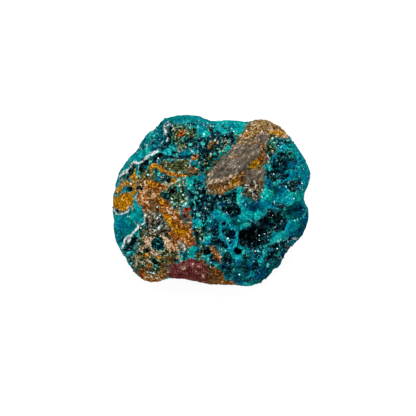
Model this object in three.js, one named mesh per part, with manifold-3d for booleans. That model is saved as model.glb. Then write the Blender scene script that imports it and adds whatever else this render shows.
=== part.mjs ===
// Rough dioptase: one broken nugget of copper ore, a chrysocolla and quartz mass lined with dioptase.
// It lies on its flattest broken face with the crystal-lined face up.
// Millimetres, +Z up, origin at the middle of the bounding box's bottom, on the face it rests on.
import * as THREE from "three";
import { ImprovedNoise } from "three/addons/math/ImprovedNoise.js";
import { mergeVertices } from "three/addons/utils/BufferGeometryUtils.js";
import Module from "manifold-3d";

// Driving dimensions.
const WAIST = 8.6; // mean height of the widest level above the resting face
const CROWN = 17.4; // height of the upper face before its relief
const KEEL = 2.2; // how far the rounded underside would hang below the face it is broken off at
const DETAIL = 18; // icosahedron subdivisions: 20 * (DETAIL + 1)^2 triangles
const HOLLOW_DETAIL = 7; // the same for one hollow of the cavity
const OUTLINE_STEPS = 720; // samples taken round the outline
const SMOOTHED_OVER = 40; // samples each way that the outline is evened out over, away from the waist
const SHARP_BELOW = 0.37; // the outline keeps its notches up to this height: 0 is the waist, 1 a pole
const EVEN_ABOVE = 0.84; // from this height on, the outline is the evened-out one
const SQUARENESS = 3.2; // power of the upright section: 2 is an ellipse, and more is squarer

// Relief: bump sizes and heights.
const DOME_DROP = 0.006; // fall of the upper face per square millimetre from its middle
const SWELL = { size: 7, height: 0.8 }; // broad swells of the upper face
const RIPPLE = { size: 3, height: 0.35, layer: 4 }; // smaller swells between them
const BULGE = { size: 5, height: 0.9 }; // bulges that grow towards top and bottom
const BREAK_WAVE = { size: 4, height: 0.35 }; // unevenness of the flat breaks
const GRAIN = { size: 2.2, height: 0.22 }; // fine unevenness everywhere
const WALL = { size: 0.7, height: 0.16 }; // unevenness of a hollow's wall, as a share of its size

// The outline seen from above, walked anticlockwise from the nose on the right.
const OUTLINE = [
  [15.9, 3.9], [15.1, 6.6], [13.9, 8.1], [12.0, 10.9], [11.0, 12.0], [8.3, 13.2],
  [6.6, 12.9], [5.6, 12.6], [3.5, 12.9], [-1.0, 12.9], [-2.0, 13.4], [-4.5, 13.7],
  [-7.0, 13.3], [-8.4, 12.6], [-9.4, 11.5], [-10.4, 11.2], [-11.5, 9.2], [-14.0, 6.0],
  [-15.1, 4.0], [-15.8, 1.8], [-16.0, -2.5], [-15.5, -6.6], [-14.1, -8.9], [-12.3, -12.0],
  [-11.4, -12.9], [-9.6, -13.3], [-8.4, -13.1], [-7.3, -12.6], [-5.5, -12.8], [-1.0, -13.5],
  [3.0, -13.7], [6.9, -13.7], [9.3, -12.2], [9.7, -11.3], [10.8, -10.7], [12.2, -8.0],
  [14.2, -6.0], [15.1, -4.3], [15.4, -1.2], [14.7, -0.1], [15.0, 1.4],
];

// Flat breaks that clip the rounded mass: the way each one faces, and how far it lies from the middle.
const BREAKS = [
  // round the upper shoulder
  { azimuth: 143, elevation: 38, reach: 13.9 },
  { azimuth: 190, elevation: 44, reach: 13.0 },
  { azimuth: 226, elevation: 36, reach: 14.7 },
  { azimuth: 264, elevation: 40, reach: 12.4 },
  { azimuth: 318, elevation: 46, reach: 13.4 },
  { azimuth: 10, elevation: 30, reach: 14.6 },
  { azimuth: 56, elevation: 44, reach: 14.0 },
  { azimuth: 96, elevation: 34, reach: 13.2 },
  // round the underside
  { azimuth: 12, elevation: -52, reach: 10.9 },
  { azimuth: 68, elevation: -26, reach: 12.6 },
  { azimuth: 112, elevation: -58, reach: 9.6 },
  { azimuth: 137, elevation: -18, reach: 14.2 },
  { azimuth: 172, elevation: -40, reach: 12.0 },
  { azimuth: 216, elevation: -64, reach: 9.7 },
  { azimuth: 262, elevation: -30, reach: 12.3 },
  { azimuth: 312, elevation: -50, reach: 10.6 },
];

// The open cavity: overlapping hollows from its deep end to the gap where it leaves the side.
// at: the middle, size: half-axes, turn: about Z in degrees, lean: how far the foot tucks in under the lip.
const HOLLOWS = [
  { at: [6.8, -6.0, 15.9], size: [2.9, 2.2, 5.2], turn: 8, lean: 14 },
  { at: [9.5, -3.9, 15.9], size: [3.2, 2.0, 4.2], turn: 28, lean: 12 },
  { at: [13.4, -1.7, 14.6], size: [3.0, 1.3, 3.1], turn: 20, lean: 6 },
];

// The grey quartz vein that stands proud of the upper face.
const VEIN = { at: [4.2, 6.6], halfLength: 7.4, halfWidth: 2.3, turn: 46, rise: 0.7, edge: 0.9 };

// The waist's two swings up and down on its way round: how many per turn, how high, and where they start.
const WAIST_SWINGS = [
  { turns: 1, height: 1.5, start: 2.2 },
  { turns: 2, height: 0.9, start: 0.6 },
];

const NOISE_PLACE = [5.3, 1.7, 9.1]; // where in the noise this stone lies
const GREY_GREEN = 0x2c6f6b;

const noise = new ImprovedNoise();
const radians = THREE.MathUtils.degToRad;

// Smooth bumps of a given size and height.
function lumps(x, y, z, { size, height }) {
  const [dx, dy, dz] = NOISE_PLACE;
  return height * noise.noise(x / size + dx, y / size + dy, z / size + dz);
}

// The outline as a radius for each step of azimuth.
function outlineTable() {
  const points = OUTLINE.map(([x, y]) => new THREE.Vector3(x, y, 0));
  const curve = new THREE.CatmullRomCurve3(points, true, "centripetal");
  const table = new Array(OUTLINE_STEPS).fill(0);
  for (const p of curve.getPoints(OUTLINE_STEPS * 8)) {
    const turn = (Math.atan2(p.y, p.x) / (2 * Math.PI) + 1) % 1;
    const step = Math.floor(turn * OUTLINE_STEPS);
    table[step] = Math.max(table[step], Math.hypot(p.x, p.y));
  }
  return table;
}

// A table's running mean, going round past its end.
function evenedOut(table, reach) {
  return table.map((_, i) => {
    let sum = 0;
    for (let k = -reach; k <= reach; k++) sum += table[(i + k + table.length) % table.length];
    return sum / (2 * reach + 1);
  });
}

function readTable(table, azimuth) {
  const place = ((azimuth / (2 * Math.PI) + 1) % 1) * table.length;
  const before = Math.floor(place) % table.length;
  const after = (before + 1) % table.length;
  return THREE.MathUtils.lerp(table[before], table[after], place - Math.floor(place));
}

const sharpOutline = outlineTable();
const evenOutline = evenedOut(sharpOutline, SMOOTHED_OVER);

// The outline's notches and noses belong to the waist, and die away above and below it.
function outlineRadius(azimuth, rise) {
  const away = THREE.MathUtils.smoothstep(rise, SHARP_BELOW, EVEN_ABOVE);
  return THREE.MathUtils.lerp(readTable(sharpOutline, azimuth), readTable(evenOutline, azimuth), away);
}

// How far the quartz vein lifts the upper face at a place.
function veinRise(x, y) {
  const turn = radians(VEIN.turn);
  const dx = x - VEIN.at[0];
  const dy = y - VEIN.at[1];
  const along = Math.abs(dx * Math.cos(turn) + dy * Math.sin(turn)) - VEIN.halfLength;
  const across = Math.abs(-dx * Math.sin(turn) + dy * Math.cos(turn)) - VEIN.halfWidth;
  const inside = -Math.max(along, across);
  return VEIN.rise * THREE.MathUtils.smoothstep(inside, 0, VEIN.edge);
}

// Height of the upper face: a low dome with broad swells, and the vein on it.
function crownHeight(x, y) {
  const dome = -DOME_DROP * (x * x + y * y);
  const swell = lumps(x, y, 0, SWELL) + lumps(x, y, RIPPLE.layer, RIPPLE);
  return CROWN + dome + swell + veinRise(x, y);
}

// How far the widest level dips and rises on its way round.
function waistSwing(azimuth) {
  let swing = 0;
  for (const { turns, height, start } of WAIST_SWINGS) swing += height * Math.sin(turns * azimuth + start);
  return swing;
}

// Each break as a plane: its outward normal, and how far it lies from the middle.
const breaks = BREAKS.map(({ azimuth, elevation, reach }) => {
  const flat = Math.cos(radians(elevation));
  const normal = new THREE.Vector3(
    flat * Math.cos(radians(azimuth)),
    flat * Math.sin(radians(azimuth)),
    Math.sin(radians(elevation)),
  );
  return { normal, reach };
});

// Where the surface lies in the direction of a unit vector from the middle.
function surfacePoint(direction) {
  const azimuth = Math.atan2(direction.y, direction.x);
  const upright = Math.abs(direction.z);
  const level = Math.hypot(direction.x, direction.y);
  const reachOut = (level ** SQUARENESS + upright ** SQUARENESS) ** (-1 / SQUARENESS);
  const rise = upright * reachOut;
  const spread = level * reachOut * outlineRadius(azimuth, rise);
  const x = spread * Math.cos(azimuth);
  const y = spread * Math.sin(azimuth);
  const poleHeight = direction.z < 0 ? -(WAIST + KEEL) : crownHeight(x, y) - WAIST;
  const z = rise * poleHeight + (1 - rise) * waistSwing(azimuth);
  const point = new THREE.Vector3(x, y, z);
  point.addScaledVector(direction, rise * lumps(x, y, z, BULGE));
  for (const { normal, reach } of breaks) {
    const out = point.dot(normal);
    const limit = reach + lumps(x, y, z, BREAK_WAVE);
    if (out > limit) point.multiplyScalar(limit / out);
  }
  point.addScaledVector(direction, lumps(point.x, point.y, point.z, GRAIN));
  point.z += WAIST;
  return point;
}

// A sphere of merged vertices, each one moved by place(vertex).
function movedSphere(detail, place) {
  const sphere = new THREE.IcosahedronGeometry(1, detail);
  sphere.deleteAttribute("normal");
  sphere.deleteAttribute("uv");
  const geometry = mergeVertices(sphere, 1e-5);
  const position = geometry.attributes.position;
  const vertex = new THREE.Vector3();
  for (let i = 0; i < position.count; i++) {
    vertex.fromBufferAttribute(position, i).normalize();
    const moved = place(vertex);
    position.setXYZ(i, moved.x, moved.y, moved.z);
  }
  return geometry;
}

// One hollow of the cavity: an ellipsoid with an uneven wall.
function hollowGeometry({ at, size, turn, lean }) {
  const pose = new THREE.Matrix4().compose(
    new THREE.Vector3(...at),
    new THREE.Quaternion().setFromEuler(new THREE.Euler(radians(lean), 0, radians(turn), "ZXY")),
    new THREE.Vector3(...size),
  );
  return movedSphere(HOLLOW_DETAIL, (vertex) => {
    const wall = 1 + lumps(vertex.x, vertex.y, vertex.z + at[0], WALL);
    return vertex.clone().multiplyScalar(wall).applyMatrix4(pose);
  });
}

const wasm = await Module();
wasm.setup();

function solidOf(geometry) {
  const vertProperties = new Float32Array(geometry.attributes.position.array);
  const triVerts = new Uint32Array(geometry.index.array);
  return new wasm.Manifold(new wasm.Mesh({ numProp: 3, vertProperties, triVerts }));
}

function geometryOf(solid) {
  const { vertProperties, triVerts } = solid.getMesh();
  return new THREE.BufferGeometry()
    .setAttribute("position", new THREE.BufferAttribute(vertProperties, 3))
    .setIndex(new THREE.BufferAttribute(triVerts, 1));
}

// Puts the middle of the bounding box's bottom at the origin.
function rest(geometry) {
  geometry.computeBoundingBox();
  const { min, max } = geometry.boundingBox;
  return geometry.translate(-(min.x + max.x) / 2, -(min.y + max.y) / 2, -min.z);
}

function nugget() {
  let solid = solidOf(movedSphere(DETAIL, surfacePoint)).trimByPlane([0, 0, 1], 0);
  for (const hollow of HOLLOWS) solid = solid.subtract(solidOf(hollowGeometry(hollow)));
  const geometry = rest(geometryOf(solid));
  geometry.computeVertexNormals();
  const material = new THREE.MeshStandardMaterial({
    color: GREY_GREEN,
    roughness: 0.6,
    metalness: 0,
    flatShading: true,
  });
  const mesh = new THREE.Mesh(geometry, material);
  mesh.name = "dioptase_nugget";
  return mesh;
}

const stone = new THREE.Group();
stone.add(nugget());

export default stone;
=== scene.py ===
# %% [markdown]
# # A rough dioptase stone
#
# This lesson builds the looks of one broken nugget of copper ore. The real stone is a lump of
# teal chrysocolla, lined with small dark dioptase crystals, crossed by a grey quartz vein and
# stained with ochre, rust and maroon iron minerals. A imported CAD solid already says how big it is
# and where it lies, so the script starts from that solid and adds what a plain solid can't show:
# relief, minerals, and thousands of small crystals and grains.

# %% The frame
import math
import random

import bmesh
import bpy
import numpy as np
from mathutils import Matrix, Vector, noise
from mathutils.bvhtree import BVHTree


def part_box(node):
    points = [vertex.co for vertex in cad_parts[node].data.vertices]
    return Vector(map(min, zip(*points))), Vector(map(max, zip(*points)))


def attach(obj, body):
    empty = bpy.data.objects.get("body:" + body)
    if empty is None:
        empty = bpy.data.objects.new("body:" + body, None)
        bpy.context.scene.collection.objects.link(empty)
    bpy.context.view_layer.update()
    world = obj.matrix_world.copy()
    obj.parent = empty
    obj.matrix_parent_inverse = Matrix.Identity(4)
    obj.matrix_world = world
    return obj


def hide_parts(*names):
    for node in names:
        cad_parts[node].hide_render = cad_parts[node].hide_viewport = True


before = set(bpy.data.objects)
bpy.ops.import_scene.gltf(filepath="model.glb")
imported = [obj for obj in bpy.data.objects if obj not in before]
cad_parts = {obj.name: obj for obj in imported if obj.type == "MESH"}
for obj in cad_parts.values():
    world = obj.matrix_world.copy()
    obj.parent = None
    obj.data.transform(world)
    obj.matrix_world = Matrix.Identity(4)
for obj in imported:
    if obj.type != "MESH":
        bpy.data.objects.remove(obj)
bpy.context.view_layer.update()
MM = 0.001
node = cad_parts["dioptase_nugget"]
low, high = (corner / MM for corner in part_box("dioptase_nugget"))
print("the stone is", [round(s, 1) for s in high - low], "mm")

# %% [markdown]
# ## Places on the stone
#
# Looking down on the stone, each mineral fills a few patches. A patch is described by a function
# that says how deep a place lies inside it, in millimetres: more than 0 inside, less than 0 outside.
# A distance is better than a yes or no, because its edge can be made ragged later by adding a
# little noise to it, and it stays sharp however close the camera comes. Three kinds of patch are
# enough: an oval spot, a band along a line, and a field with corners.


# %% Spots and bands
def spot(x, y, across, along, turn=0):
    """An oval with its half-axes, the first one turned anticlockwise from +X."""
    c, s = math.cos(math.radians(turn)), math.sin(math.radians(turn))

    def depth(px, py):
        u = (px - x) * c + (py - y) * s
        v = (py - y) * c - (px - x) * s
        return (1 - np.hypot(u / across, v / along)) * min(across, along)

    return depth


def pairs(numbers):
    """The numbers x,y, x,y and so on as a list of places."""
    return list(zip(numbers[::2], numbers[1::2]))


def to_segment(px, py, start, end):
    """Distance from each place to a straight segment."""
    (ax, ay), (bx, by) = start, end
    length2 = (bx - ax) ** 2 + (by - ay) ** 2
    t = np.clip(((px - ax) * (bx - ax) + (py - ay) * (by - ay)) / length2, 0, 1)
    return np.hypot(px - ax - t * (bx - ax), py - ay - t * (by - ay))


def band(half_width, *numbers):
    """A band of even width along a line of places."""
    line = pairs(numbers)

    def depth(px, py):
        near = [to_segment(px, py, a, b) for a, b in zip(line, line[1:])]
        return half_width - np.min(near, axis=0)

    return depth


sample_band = band(0.5, 0,0, 3,0, 3,4)
print("on its line, a band 1 mm wide is", sample_band(np.array([3.0]), np.array([2.0]))[0], "mm deep")


# %% Fields and dots
def field(*numbers):
    """A patch with corners: the sign comes from counting the edges that a line to +X crosses."""
    corners = pairs(numbers)
    edges = list(zip(corners, corners[1:] + corners[:1]))

    def depth(px, py):
        near = np.min([to_segment(px, py, a, b) for a, b in edges], axis=0)
        inside = np.zeros(px.shape, bool)
        for (ax, ay), (bx, by) in edges:
            if ay != by:
                beyond = px < (bx - ax) * (py - ay) / (by - ay) + ax
                inside ^= ((ay > py) != (by > py)) & beyond
        return np.where(inside, near, -near)

    return depth


def dots(*numbers):
    """Many small round spots, each as x,y,radius."""
    circles = list(zip(numbers[::3], numbers[1::3], numbers[2::3]))

    def depth(px, py):
        return np.max([r - np.hypot(px - x, py - y) for x, y, r in circles], axis=0)

    return depth


def deepest(shapes, px, py):
    """How deep a place lies in the best of several patches."""
    return np.max([shape(px, py) for shape in shapes], axis=0)


sample_field = field(0,0, 4,0, 4,4, 0,4)
print("1 mm to the left of a field is", sample_field(np.array([-1.0]), np.array([2.0]))[0], "mm deep")


# %% [markdown]
# ## The minerals and where they lie
#
# Each mineral gets its patches, in millimetres from the middle of the stone, with every corner
# written as x,y. Where patches overlap, the mineral that is named later covers the earlier one, as a
# later crust would. Plain chrysocolla isn't listed: it is what shows where nothing else does. The
# list starts with its own darker and brighter shades. They are partly the crust's own tone and
# partly painted light and shade: brighter on ridges, humps and the top edge, which face the light,
# and darker on slopes and in hollows that face away from it.

# %% Dark and bright crust
PATCHES = {}
# Darker crust: partly its own tone, partly painted shade on slopes that face away from the light
PATCHES["deep"] = [
    field(4.2,-9.6, 5.4,-8.9, 6.6,-8.4, 7.2,-8.1, 8,-8.6, 8.9,-8.6, 9.4,-7.4, 10.6,-7.2, 12,-6.2,
    12.7,-7.2, 12.2,-8.8, 11.2,-10.6, 9.8,-11.4, 9.4,-13, 6,-14.4, 3.6,-14, 3.2,-12, 3.6,-10.6),
    field(14.2,-0.5, 15.6,-0.9, 15.8,-4, 15,-6.2, 13.2,-6.4, 12.7,-5.6, 14.3,-4.2, 14.3,-3, 13.8,-2.8),
    field(11.8,-2.2, 12.3,-3.2, 12.2,-4, 11.6,-4.9, 11.2,-4.6),
    field(9.4,1.7, 10.8,1.5, 10.9,3, 9.4,3.2, 8.8,3), field(-15.2,-5.5, -14,-5.6, -14.1,-6.4, -15.2,-6.6),
    band(0.35, -8.3,12.4, -8.1,11.2), band(0.3, -11.1,10.2, -11.2,8.2, -10.6,7.6),
    band(0.3, -9,10.9, -8.4,9.6, -9,8.4), band(0.25, -13.4,-1.9, -12.4,-1.7),
    field(5.4,-0.3, 6,0.2, 7.8,0, 8.4,-1, 8.6,-2, 7.4,-1.9, 6.2,-1.7, 5.2,-1.2),
    field(9.6,2.6, 10.2,1, 11.4,1.2, 12.4,2, 11.4,2.6), spot(1.2,-0.1, 0.9,0.6),
    spot(-8.35,4.15, 0.85,0.8), field(-4.2,-7.6, -3.4,-8.8, -4.2,-9.9, -5.2,-9.7, -5,-8.4),
    spot(-13,-10.6, 0.3,1.6, 25),
    field(-0.6,-9, 1.8,-9, 3.4,-8.6, 4.4,-10.4, 3.2,-12.8, 2.2,-12.2, 1.4,-11.3, 0.4,-10.3),
    field(-2.6,-7.4, -1.4,-6.9, -0.4,-7.4, -0.6,-8.8, -1.6,-9.8, -2.4,-9.2),
    field(2.9,-2.6, 4.6,-2.4, 5,-3.6, 4.4,-4.4, 3,-3.9),
    field(-1,-3, -0.4,-3.6, 0.6,-3.3, 0.9,-4.4, 1,-5.8, -0.2,-5.4, -1,-4.2),
    band(0.3, -9.4,9.8, -9,8.8, -9.8,8.2), spot(-11.6,8, 0.5,0.3, 40),
    field(-1.6,-6.4, -0.2,-6.2, 1.8,-6.2, 2.8,-7.6, 2,-8.4, 0.6,-7.4, -1.4,-7.4),
    dots(10,3.9,0.8, -14.2,-4.3,0.3, -12.9,-3.6,0.25, -11.9,-2.4,0.3, 3.4,8.3,0.3),
]
# Brighter crust: partly its own tone, partly painted light on ridges, humps and the top edge
PATCHES["bright"] = [
    field(0.5,11, 0.4,13.8, 6,13.8, 5.6,12.2, 5.2,11.1, 4.2,10.7, 3,11.1, 2,10.9),
    field(-2.6,10.9, -0.4,11.2, -0.5,10.4, -1.4,10.2), spot(-4,12.5, 0.9,0.35), spot(-2.3,11.9, 0.35,0.6),
    spot(-12,7.1, 1,0.7, 40), field(-7.6,7.8, -6.9,8.7, -6,8.5, -5.3,8.2, -5.3,7.6, -6.4,7.5),
    spot(-3.4,2.8, 0.7,0.5, 20), spot(-2.5,3.4, 0.5,0.35), spot(-9.6,10.6, 0.5,0.8, -20),
    spot(-10.2,7.8, 0.4,0.7, 20), spot(-0.1,-0.1, 0.4,1),
    field(0.9,-1.1, 1.3,-1.3, 2.2,-2.2, 2.6,-3.2, 2.7,-4, 2.3,-3.9, 2.2,-3.5, 1.6,-3.3, 0.6,-3.1, 0,-3.4,
    -0.5,-3.9, -0.9,-3.6, -0.6,-2.6, 0.4,-1.6),
    field(-2.9,-3.3, -2.3,-3.2, -1.7,-3.4, -1.4,-4.2, -1.9,-4.7, -2.6,-4.4),
    band(0.38, 4.6,2.1, 4.3,1.2, 4.5,0.3),
    field(7.9,0.3, 8,1.6, 8.4,2.7, 9,2.4, 9.3,1.6, 9.7,1, 9.4,0.3, 8.8,0),
    band(0.14, 10.8,0, 11.6,-0.5, 12.2,-0.85, 12.8,-0.7, 13.4,-0.45, 14.2,-0.2),
    band(0.22, 10.8,2.6, 11,3.3, 11.7,3.2), band(0.22, 10.6,8.5, 11.5,8.8, 12.2,8.4, 12.7,7.9),
    band(0.22, 5.3,-2.4, 6,-3.1, 7.1,-2.9, 8.7,-2.6), band(0.12, 6,-1.9, 6.6,-2.2, 7.5,-2),
    spot(5.8,-4.3, 0.55,0.22), band(0.1, 10.4,-6.6, 10.9,-6.3, 11.8,-5.4, 12.8,-4.7),
    # The first two spots, on folds of the lower right flank, are painted highlights
    spot(8.4,-8.4, 0.3,0.75, -8), spot(7.7,-9.3, 0.3,0.75, 25), band(0.16, 10.6,-8.6, 11,-7.8, 11.8,-7.2),
    band(0.14, 5.9,-13, 6.6,-12.2, 6.9,-11.4),
    band(0.32, 2.6,-7.7, 2.2,-8.2, 3.2,-8.6, 3.7,-9.3, 4.6,-9.3, 5.4,-8.6),
    field(-3.6,-7.7, -2.5,-7.4, -2.4,-8.5, -3.1,-8.7, -3.6,-8.4),
    band(0.25, -0.3,-5.8, -0.8,-6.4, -0.7,-7.7),
    band(0.2, 1.25,-3.9, 1.35,-5.4, 1.9,-6.3, 2.6,-6.9, 2.8,-7.5), band(0.24, 4,-4.9, 4.1,-6.6, 3.5,-7.7),
    band(0.18, 4.2,-6.8, 4.7,-7.8), spot(6,-13.5, 1.1,0.25),
    band(0.2, -12.2,0.4, -12.3,-0.3, -12.1,-1.2, -11.6,-1.9),
    # The first four dots, on the left face, are painted highlights
    dots(-12.6,-2.6,0.45, -13.3,-3.6,0.35, -12.6,-4.6,0.35, -11.4,-3,0.4, 2.9,1.4,0.4, 11.6,-1.6,0.35,
    9,-7.4,0.35, 5.2,0,0.3, -15.2,-2.8,0.4),
]


def tell(*minerals):
    """Prints how many patches each of these minerals has."""
    print("patches of", {mineral: len(PATCHES[mineral]) for mineral in minerals})


tell("deep", "bright")

# %% [markdown]
# Dioptase grew in the pits and hollows of the crust, as a dark druse of small crystals. Here and
# there, between pits, the crust turns blue.

# %% Druse and blue crust
PATCHES["druse"] = [
    field(-4.2,1.5, -3.2,1.8, -1.4,1.9, -0.8,1, 1.6,1, 2.6,1.4, 3.7,1.5, 3.9,0.3, 3.7,-0.5, 4.5,-0.9,
    4.7,-2.2, 3.6,-2.4, 3.3,-3.2, 2.6,-2.6, 2,-1.6, 1.2,-1, 0.5,-1.2, -0.2,-2, -0.8,-2.6, -0.9,-4,
    -0.4,-4.6, 0.9,-4.2, 1,-5.6, -0.6,-5.4, -1.9,-6.2, -3.1,-5.6, -3,-4.5, -1.7,-4.7, -1.4,-3.4, -2.5,-3,
    -2.6,-1.6, -3.6,-0.8, -4,0.4),
    field(-2.6,9.9, -1.4,10.2, -0.5,10.3, 0.2,11, 3.2,11.1, 3.9,10.2, 3.3,9.4, 2.4,8.6, 1.4,7.4, 0.3,6.2,
    -0.6,4.7, -1.6,5, -2.5,6, -2.2,7.4, -2.7,8.2, -4.3,8.8, -4.4,10),
    field(-8.2,6.5, -6.8,6.8, -5,6.9, -3.8,6.9, -2.4,6.2, -2.6,7.6, -4.4,7.4, -7.8,7.6, -8.6,8.8,
    -7.4,9.5, -7.2,12, -6.6,12, -6.6,9.3, -7.4,8.8, -8.1,7.6),
    band(0.4, -8.3,7.2, -9.5,6.6, -10.4,6.2, -11.2,5.4, -11.3,4.6),
    band(0.36, -12.6,5.5, -13,4.8, -13.6,3.7),
    field(9.9,9.7, 10.6,10.2, 12.4,10.1, 13,9.3, 12.4,8.9, 11.2,9, 10.2,9),
    field(10.4,7, 11.4,7.8, 12.6,7.7, 13.2,6.8, 14,6.6, 13.9,5, 12.6,5, 12.2,4.2, 12.8,3.3, 14.2,3.2,
    14.4,2.2, 13.4,1.6, 12.5,2.1, 11.4,2.6, 12,3.4, 11,3.7, 10.2,3.4, 8.8,3.6, 8.7,4.6, 9.8,5.2, 9.9,6.2),
    field(-12.9,-6, -12.1,-5.9, -12,-6.5, -12.4,-7.2, -12.9,-8.3, -13.6,-8.4, -14.3,-8.2, -14.2,-7.6,
    -13.7,-7, -13.4,-7),
    spot(2.5,-9.9, 0.6,0.9), band(0.14, -7.5,9, -6.6,8.1, -5.4,7.9), band(0.1, -6.2,9.2, -5.7,8.4),
    band(0.05, -3.4,12.9, -2.6,12.3, -1.6,12.4), band(0.05, -9.3,11.3, -9,10.3, -9.7,9.4),
    spot(-13.7,3.7, 0.7,0.5, 30), spot(2.9,-11.3, 0.4,0.5), spot(-2.9,-1.8, 0.5,0.8),
    spot(-2.2,2.4, 0.6,0.3, 20), spot(-3.3,1.9, 0.4,0.2), spot(0.7,-6.7, 0.95,0.45, -10),
    spot(2.2,-7.15, 0.55,0.33), spot(2.8,-5.4, 0.85,0.65),
    field(2.1,-6.2, 3.3,-6.3, 3.6,-7, 3.1,-7.9, 2.9,-7.2), spot(3.85,-7.8, 0.35,0.5),
    # The band here, along the foot of the ridge, is the ridge's painted shadow, laid as dark druse over a
    # sunk groove
    spot(10.3,-7.7, 0.9,0.4), band(0.25, 9.3,-7.6, 10.6,-7.4, 11.8,-6.9, 12.7,-6.4),
    band(0.2, 7.2,-8.4, 7.4,-9.6, 7.2,-10.8), band(0.18, 5.6,-9.2, 5.4,-10.4, 5.8,-11.6),
    spot(9.7,-9.2, 0.9,0.6, 30),
    field(4.3,-4.9, 5.4,-4.7, 6.6,-4.3, 5.8,-3.6, 7.2,-3.4, 9.1,-2.8, 9.4,-1.6, 10.3,-1.7, 10.4,-2.1,
    11.9,-2.2, 12.1,-3.2, 11.7,-4.6, 11,-5, 9.4,-5.2, 8.9,-6.4, 8.4,-7.7, 6.4,-7.9, 5.6,-7.7, 4.6,-7.4,
    4.4,-6.2),
    band(0.2, 10.8,-0.6, 11.8,-1),
    dots(-7,3.4,0.55, -6.3,1.5,0.65, -0.8,-8.4,0.5, -9.2,-10,0.4, -7.9,1.3,0.4, 0.3,-9.8,0.4,
    6.3,-9.2,0.4, 6.8,-11.2,0.4, 11.8,-7.5,0.35, 7,-8.4,0.4),
]
PATCHES["blue"] = [
    field(-15.4,-3.4, -13.9,-3.3, -13.1,-3.9, -12.4,-4.2, -13,-5.2, -14.8,-4.8), spot(-4.7,7.7, 0.6,0.4),
    spot(-1.5,4.1, 0.6,0.7), spot(0.8,-1.9, 0.5,0.5), spot(1.8,-3.2, 0.7,0.35, -30),
    spot(11.8,1.7, 0.6,0.4), spot(13.1,4.2, 0.75,0.6), spot(13.2,5.6, 0.8,0.7), spot(8.5,-0.7, 0.6,0.35),
    # The spot at 6.4,-10.1, on a fold of the lower right flank, is a painted highlight
    spot(6.1,-2.6, 0.7,0.3, -20), spot(6.4,-10.1, 0.45,0.9, 12), spot(-8.8,-7.1, 1.05,0.95),
    spot(2.8,-4.3, 0.9,0.3), spot(4,-5.9, 0.3,0.8), band(0.3, 10.4,-6.1, 11.6,-5.4, 13,-4.3),
    dots(3.5,12.3,0.4, -0.7,-6.6,0.35, -8.1,10.3,0.28, 5.2,-2.5,0.35, 10.3,6.1,0.35, -11.9,6.5,0.35),
]
tell("druse", "blue")

# %% [markdown]
# Where green crust, fine crystals and earthy ore are mixed, the stone looks mossy, in dark green,
# pale mint or olive. The vein and the rust are clearer patches, so they come later.

# %% Mossy mixtures
PATCHES["moss"] = [
    field(-12.9,-8.3, -12.2,-7.2, -11.6,-5.6, -11.1,-4, -10.3,-2, -8.2,-1.8, -7,-4.4, -6.4,-6.2,
    -5.2,-6.8, -3.6,-7.3, -4.2,-8, -5,-8.6, -5.2,-10.2, -7,-10.6, -7.2,-12.9, -9.6,-13.6, -11.9,-12.9,
    -12.6,-11, -13.2,-9.6),
    field(-8.4,2.1, -7,2.5, -5.8,3.2, -5.4,0.6, -6.2,-0.9, -8,0.1),
    field(8.8,7.6, 9,9.4, 9.6,9.9, 10.4,9.5, 10.6,8.4, 10,7.7),
    field(-7.1,12.1, -5.6,12.3, -3.6,12, -2.7,11.4, -2.6,10.4, -4.4,10, -4.4,8.9, -5.2,8.6, -6.4,9.2,
    -6.9,9.6, -6.7,10.6),
    field(-13.1,-8.9, -12.6,-7.8, -11.8,-7.8, -11.6,-8.6, -11.2,-9.2, -9.6,-9.5, -8.4,-9.8, -8.6,-10.8,
    -9.6,-11.4, -10.6,-10.2, -11.4,-11.2, -12.4,-11.2, -12.9,-9.8),
    field(-3.1,-4.5, -1.8,-4.7, -1.2,-5.8, -1.6,-6.7, -2.9,-6.4), spot(-1.8,-8.6, 0.6,1),
    spot(9.4,8.4, 0.75,1.1, -20),
    field(-11.6,-4.1, -10.4,-4, -10.5,-5.2, -11,-6.6, -12,-7.3, -12.2,-6.9, -11.7,-6.2, -11.9,-5.4,
    -11.6,-4.8),
    field(-4.2,4.6, -3.4,6.2, -2.4,5.9, -1.5,4.9, -2.4,4.4, -3.3,3.9, -4.3,3.9),
    field(-1.4,5.6, -0.4,5.4, 1.2,7.3, 0.6,8.4, -0.8,7.6), band(0.35, 1.6,8, 2.8,9.2, 3.2,10),
    band(0.12, -0.1,11, 0.1,11.8, 0.4,12.2), spot(-8,3.2, 0.9,0.35),
    field(-9.4,5.3, -8,5.5, -6,4.8, -4.2,4.7, -4.2,3.6, -6,3.8, -7.4,4.6, -9.2,5),
    field(-6.6,-0.5, -5.2,-0.5, -4.3,-1.1, -5,-1.9, -6.4,-1.5), band(0.35, -13.2,4.7, -13.8,3.5),
]
PATCHES["mint"] = [
    field(-6.1,3.7, -4.4,3.8, -4.1,2.2, -4.1,0.2, -4.2,-0.9, -5.4,-0.9, -6.6,-0.8, -7,0.2, -6.2,0.9,
    -5.6,1.6, -6.2,2.6),
    band(0.25, 8.8,7.3, 8.95,6.2, 8.85,5.2),
    field(-13.2,-9.2, -12.2,-8.8, -10.6,-9.3, -9.6,-9.6, -9.2,-10.8, -10.4,-11.2, -11.6,-11.4,
    -12.8,-11.2),
    spot(-11.4,-4.6, 0.5,0.6), spot(-11.6,-6.4, 0.5,0.8), band(0.3, -6.7,12, -5,11.6, -3.6,11.4),
    spot(-5.4,9.6, 0.7,0.4, 30),
]
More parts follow.
